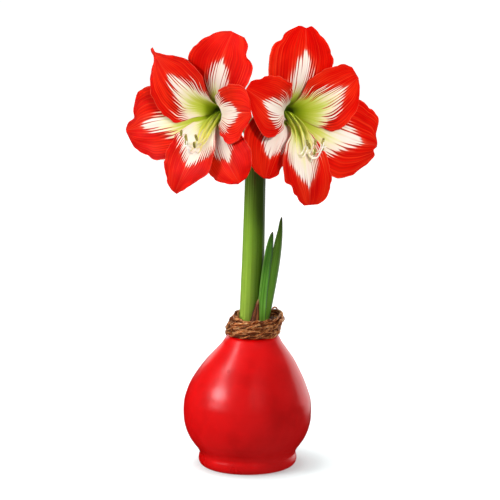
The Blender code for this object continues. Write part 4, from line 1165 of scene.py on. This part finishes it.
off_green = calc(tree, "MULTIPLY", off_green, calc(tree, "MULTIPLY_ADD", streak, 0.7, 0.65))
foot = shades(
    tree, calc(tree, "MULTIPLY", off_green, 0.5), (0.0, seen(150, 172, 24)), (0.22, seen(178, 198, 44)),
    (0.42, seen(206, 214, 90)), (0.60, seen(232, 228, 164)),
)
cream = mixed(tree, between(tree, off_green, 0.9, 1.7, 1.0, 0.0), cream, foot)
thin_line = between(tree, star, 9.0, 1.0, 0.0, 0.85)
thin_line = calc(tree, "MULTIPLY", between(tree, hair, -0.5, -0.9), thin_line)
thin_line = calc(tree, "MULTIPLY", thin_line, between(tree, run, 0.20, 0.34))
thin_line = calc(tree, "MULTIPLY", thin_line, between(tree, streak, 0.60, 0.46))
cream = mixed(tree, thin_line, cream, seen(160, 30, 8))
upper = mixed(tree, between(tree, reach, -1.3, 1.3), red, cream)
blush = calc(tree, "MULTIPLY", between(tree, reach, -5.0, -0.6, 0.0, 0.30), between(tree, reach, 0.2, -0.8))
upper = mixed(tree, blush, upper, seen(236, 110, 78))
off_rib = calc(tree, "ABSOLUTE", over)
rib_line = calc(tree, "MULTIPLY", between(tree, off_rib, 0.035, 0.010, 0.0, 0.14), run)
upper = mixed(tree, rib_line, upper, seen(240, 116, 86))
margin = between(tree, off_rib, 0.965, 0.995, 0.0, 0.35)
upper = mixed(tree, margin, upper, seen(240, 104, 78))
back = shades(tree, streak, (0.32, seen(176, 14, 6)), (0.55, seen(206, 30, 14)), (0.72, seen(220, 74, 50)))
keel = calc(tree, "MULTIPLY", between(tree, off_rib, 0.16, 0.03), between(tree, run, 0.95, 0.45))
keel = calc(tree, "MAXIMUM", calc(tree, "MULTIPLY", keel, 0.8), between(tree, run, 0.30, 0.08))
back = mixed(tree, keel, back, seen(150, 158, 62))
petal = mixed(tree, layer(tree, "front", out="Fac"), back, upper)
veins = calc(tree, "MULTIPLY_ADD", fine, 0.5, streak)
link_finish(tree, shader, petal, veins, 0.30, 0.0007, between(tree, fine, 0.3, 0.7, 0.40, 0.54))

for k, (side_name, tepals) in enumerate(TEPALS.items()):
    for j, (name, tepal) in enumerate(tepals.items()):
        seed = 10 * k + j
        grid, place, offset, across = tepal_surface(bloom_frame(BLOOMS[side_name]), tepal, seed)
        points, faces = strip(grid, TEPAL_THICK * (1 - 0.5 * np.abs(across) ** 3))
        grain_at = stacked(across, place, 0.37 * seed).reshape(-1, 3)
        fray_at = 2.2 + tepal["frayed"] * np.exp(-(((place - 0.48) / 0.18) ** 2))
        off_green_at = place / tepal["green"] * (1 + tepal.get("narrow", 2.0) * across**2)
        field_at = stacked(inside_star(tepal, place, offset), fray_at, off_green_at).reshape(-1, 3)
        surface(
            f"{side_name}_{name}_blade", (points, faces), petal_skin, f"{side_name}_{name}", "tepal_red",
            grain=np.concatenate([grain_at, grain_at]),
            field=np.concatenate([field_at, field_at]),
            front=np.repeat([1.0, 0.0], len(points) // 2),
        )

# Stamens and styles
# Six filaments stand in each throat, lie in a bunch along the lower petal and turn up at their
# tips, where each carries an anther on a pivot. The longer style ends in three lobes.

FILAMENT_FOOT = -7.0  # depth in the throat
FILAMENT_STEPS, FILAMENT_SIDES = 60, 10
TIPS = {  # side, rise and depth of each filament's tip in its bloom's frame
    "left": (
        (-1.2, -12.3, 54), (3.4, -16.1, 54), (8.5, -15.2, 48),
        (5.0, -19.5, 56), (9.5, -20.5, 52), (0.5, -15.5, 50),
    ),
    "right": (
        (2.0, -19.7, 54), (-3.0, -20.2, 51), (-8.3, -20.6, 48),
        (-7.2, -23.0, 49), (1.0, -24.5, 55), (-3.5, -27.5, 50),
    ),
}
ANTHER_HALF, ANTHER_RADIUS = 2.7, 1.02
ANTHER_STEPS, ANTHER_SIDES = 25, 14
STYLE_STEPS, STYLE_SIDES = 80, 12
LOBE_STEPS, LOBE_SIDES = 16, 10
STYLE_TIPS = {"left": (6.7, -21.5, 58), "right": (-1.0, -24.5, 59)}


def bunch_line(frame, bloom, share):
    """The middle line of the bunch, from the throat to past the tepals."""
    throat, right, up, axis = frame
    spots = np.array(bloom["bunch"], float)
    local = path_through(np.linspace(0, 1, len(spots)), spots, share)
    return throat + local @ np.array([right, up, axis])


filament_skin, tree, shader = finish_for("filament_skin", Roughness=0.50, Specular_IOR_Level=0.15)
kind, run, _ = parts_of(tree, layer(tree, "grain"))
thread = shades(
    tree, run, (0.0, seen(96, 132, 24)), (0.22, seen(170, 192, 48)), (0.45, seen(226, 222, 96)),
    (0.68, seen(244, 236, 170)), (0.85, seen(248, 244, 226)), (1.0, seen(250, 248, 240)),
)
pollen = noise(tree, object_place(tree), 900.0, 3.0)
anther = shades(
    tree, pollen, (0.35, seen(116, 112, 42)), (0.55, seen(168, 156, 74)), (0.75, seen(206, 192, 116))
)
stamen = mixed(tree, between(tree, kind, 0.4, 0.6), thread, anther)
link_finish(tree, shader, stamen, pollen, 0.4, 0.0004)

style_skin, tree, shader = finish_for("style_skin", Roughness=0.42, Specular_IOR_Level=0.4)
down = noise(tree, object_place(tree), 500.0, 3.0)
pale = shades(
    tree, parts_of(tree, layer(tree, "grain"))[1], (0.0, seen(150, 164, 50)), (0.4, seen(226, 222, 130)),
    (0.75, seen(250, 244, 224)), (1.0, seen(252, 248, 242)),
)
pale = mixed(tree, between(tree, down, 0.5, 0.7, 0.0, 0.3), pale, seen(240, 224, 196))
link_finish(tree, shader, pale, down, 0.2, 0.0004)

for side_name, bloom in BLOOMS.items():
    throat, right, up, axis = directions = bloom_frame(bloom)
    bodies, layers = [], []
    for k, tip in enumerate(TIPS[side_name]):
        around = np.radians(30 + 60 * k)
        share = np.linspace(0, 1, FILAMENT_STEPS)
        spread = np.cos(around) * right + 0.6 * np.sin(around) * up
        fan = 2.6 * np.sin(np.pi * share) * np.cos(around)
        path = bunch_line(directions, bloom, share) + (2.6 + 1.2 * share)[:, None] * spread
        path = path + fan[:, None] * right
        end = throat + np.array(tip) @ np.array([right, up, axis])
        path = path + (end - path[-1]) * s_curve((share - 0.25) / 0.75)[:, None]
        foot = throat + FILAMENT_FOOT * axis + 1.9 * (np.cos(around) * right + np.sin(around) * up)
        path = np.concatenate([foot + (path[0] - foot) * np.linspace(0, 1, 10)[:-1, None], path])
        run = np.linspace(0, 1, len(path))
        radii = smooth((0, 0.2, 0.8, 1), (0.9, 0.78, 0.5, 0.26), run)
        bodies.append(closed_tube(carried(path, radii, FILAMENT_SIDES, up)))
        layers.append(tube_layer(stacked(0.0, run, 0.0), FILAMENT_SIDES))
        pivot = unit(0.95 * up + 0.3 * axis + 0.25 * np.cos(around) * right)
        swell = np.linspace(-1, 1, ANTHER_STEPS)
        anther_path = end + ANTHER_HALF * swell[:, None] * pivot + 0.5 * (1 - swell**2)[:, None] * axis
        lobed = 1 - 0.22 * np.cos(2 * np.arange(ANTHER_SIDES) * FULL_TURN / ANTHER_SIDES) ** 4
        radii = ANTHER_RADIUS * np.sqrt(np.clip(1 - swell**4, 0.02, 1))[:, None] * lobed
        bodies.append(closed_tube(carried(anther_path, radii, ANTHER_SIDES, axis)))
        layers.append(tube_layer(stacked(1.0, 0.5 + 0.5 * swell, 0.0), ANTHER_SIDES))
    surface(
        f"{side_name}_filaments_and_anthers", joined(*bodies), filament_skin,
        f"{side_name}_stamens", "stamen_cream", grain=np.concatenate(layers),
    )
    share = np.linspace(0, 1, STYLE_STEPS)
    path = bunch_line(directions, bloom, share)
    end = throat + np.array(STYLE_TIPS[side_name]) @ np.array([right, up, axis])
    path = path + (end - path[-1]) * s_curve((share - 0.3) / 0.7)[:, None]
    path = np.concatenate([throat + np.linspace(FILAMENT_FOOT, 1.4, 9)[:, None] * axis, path])
    run = np.linspace(0, 1, len(path))
    radii = smooth((0, 0.2, 1), (1.0, 0.85, 0.55), run)
    bodies = [closed_tube(carried(path, radii, STYLE_SIDES, up))]
    layers = [tube_layer(stacked(0.0, run, 0.0), STYLE_SIDES)]
    ahead = unit(path[-1] - path[-2])
    for angle in (90, 210, 330):
        away = np.cos(np.radians(angle)) * right + np.sin(np.radians(angle)) * up
        reach = np.linspace(0, 1, LOBE_STEPS)
        lobe = path[-1] + (2.6 * reach - 0.4)[:, None] * ahead + 2.4 * (reach**2)[:, None] * away
        radii = smooth((0, 0.5, 1), (0.5, 0.46, 0.3), reach)
        bodies.append(closed_tube(carried(lobe, radii, LOBE_SIDES, up)))
        layers.append(tube_layer(stacked(0.0 * reach, 1.0, 0.0), LOBE_SIDES))
    surface(
        f"{side_name}_style_and_stigma", joined(*bodies), style_skin,
        f"{side_name}_style", "stamen_cream", grain=np.concatenate(layers),
    )

bpy.context.view_layer.update()
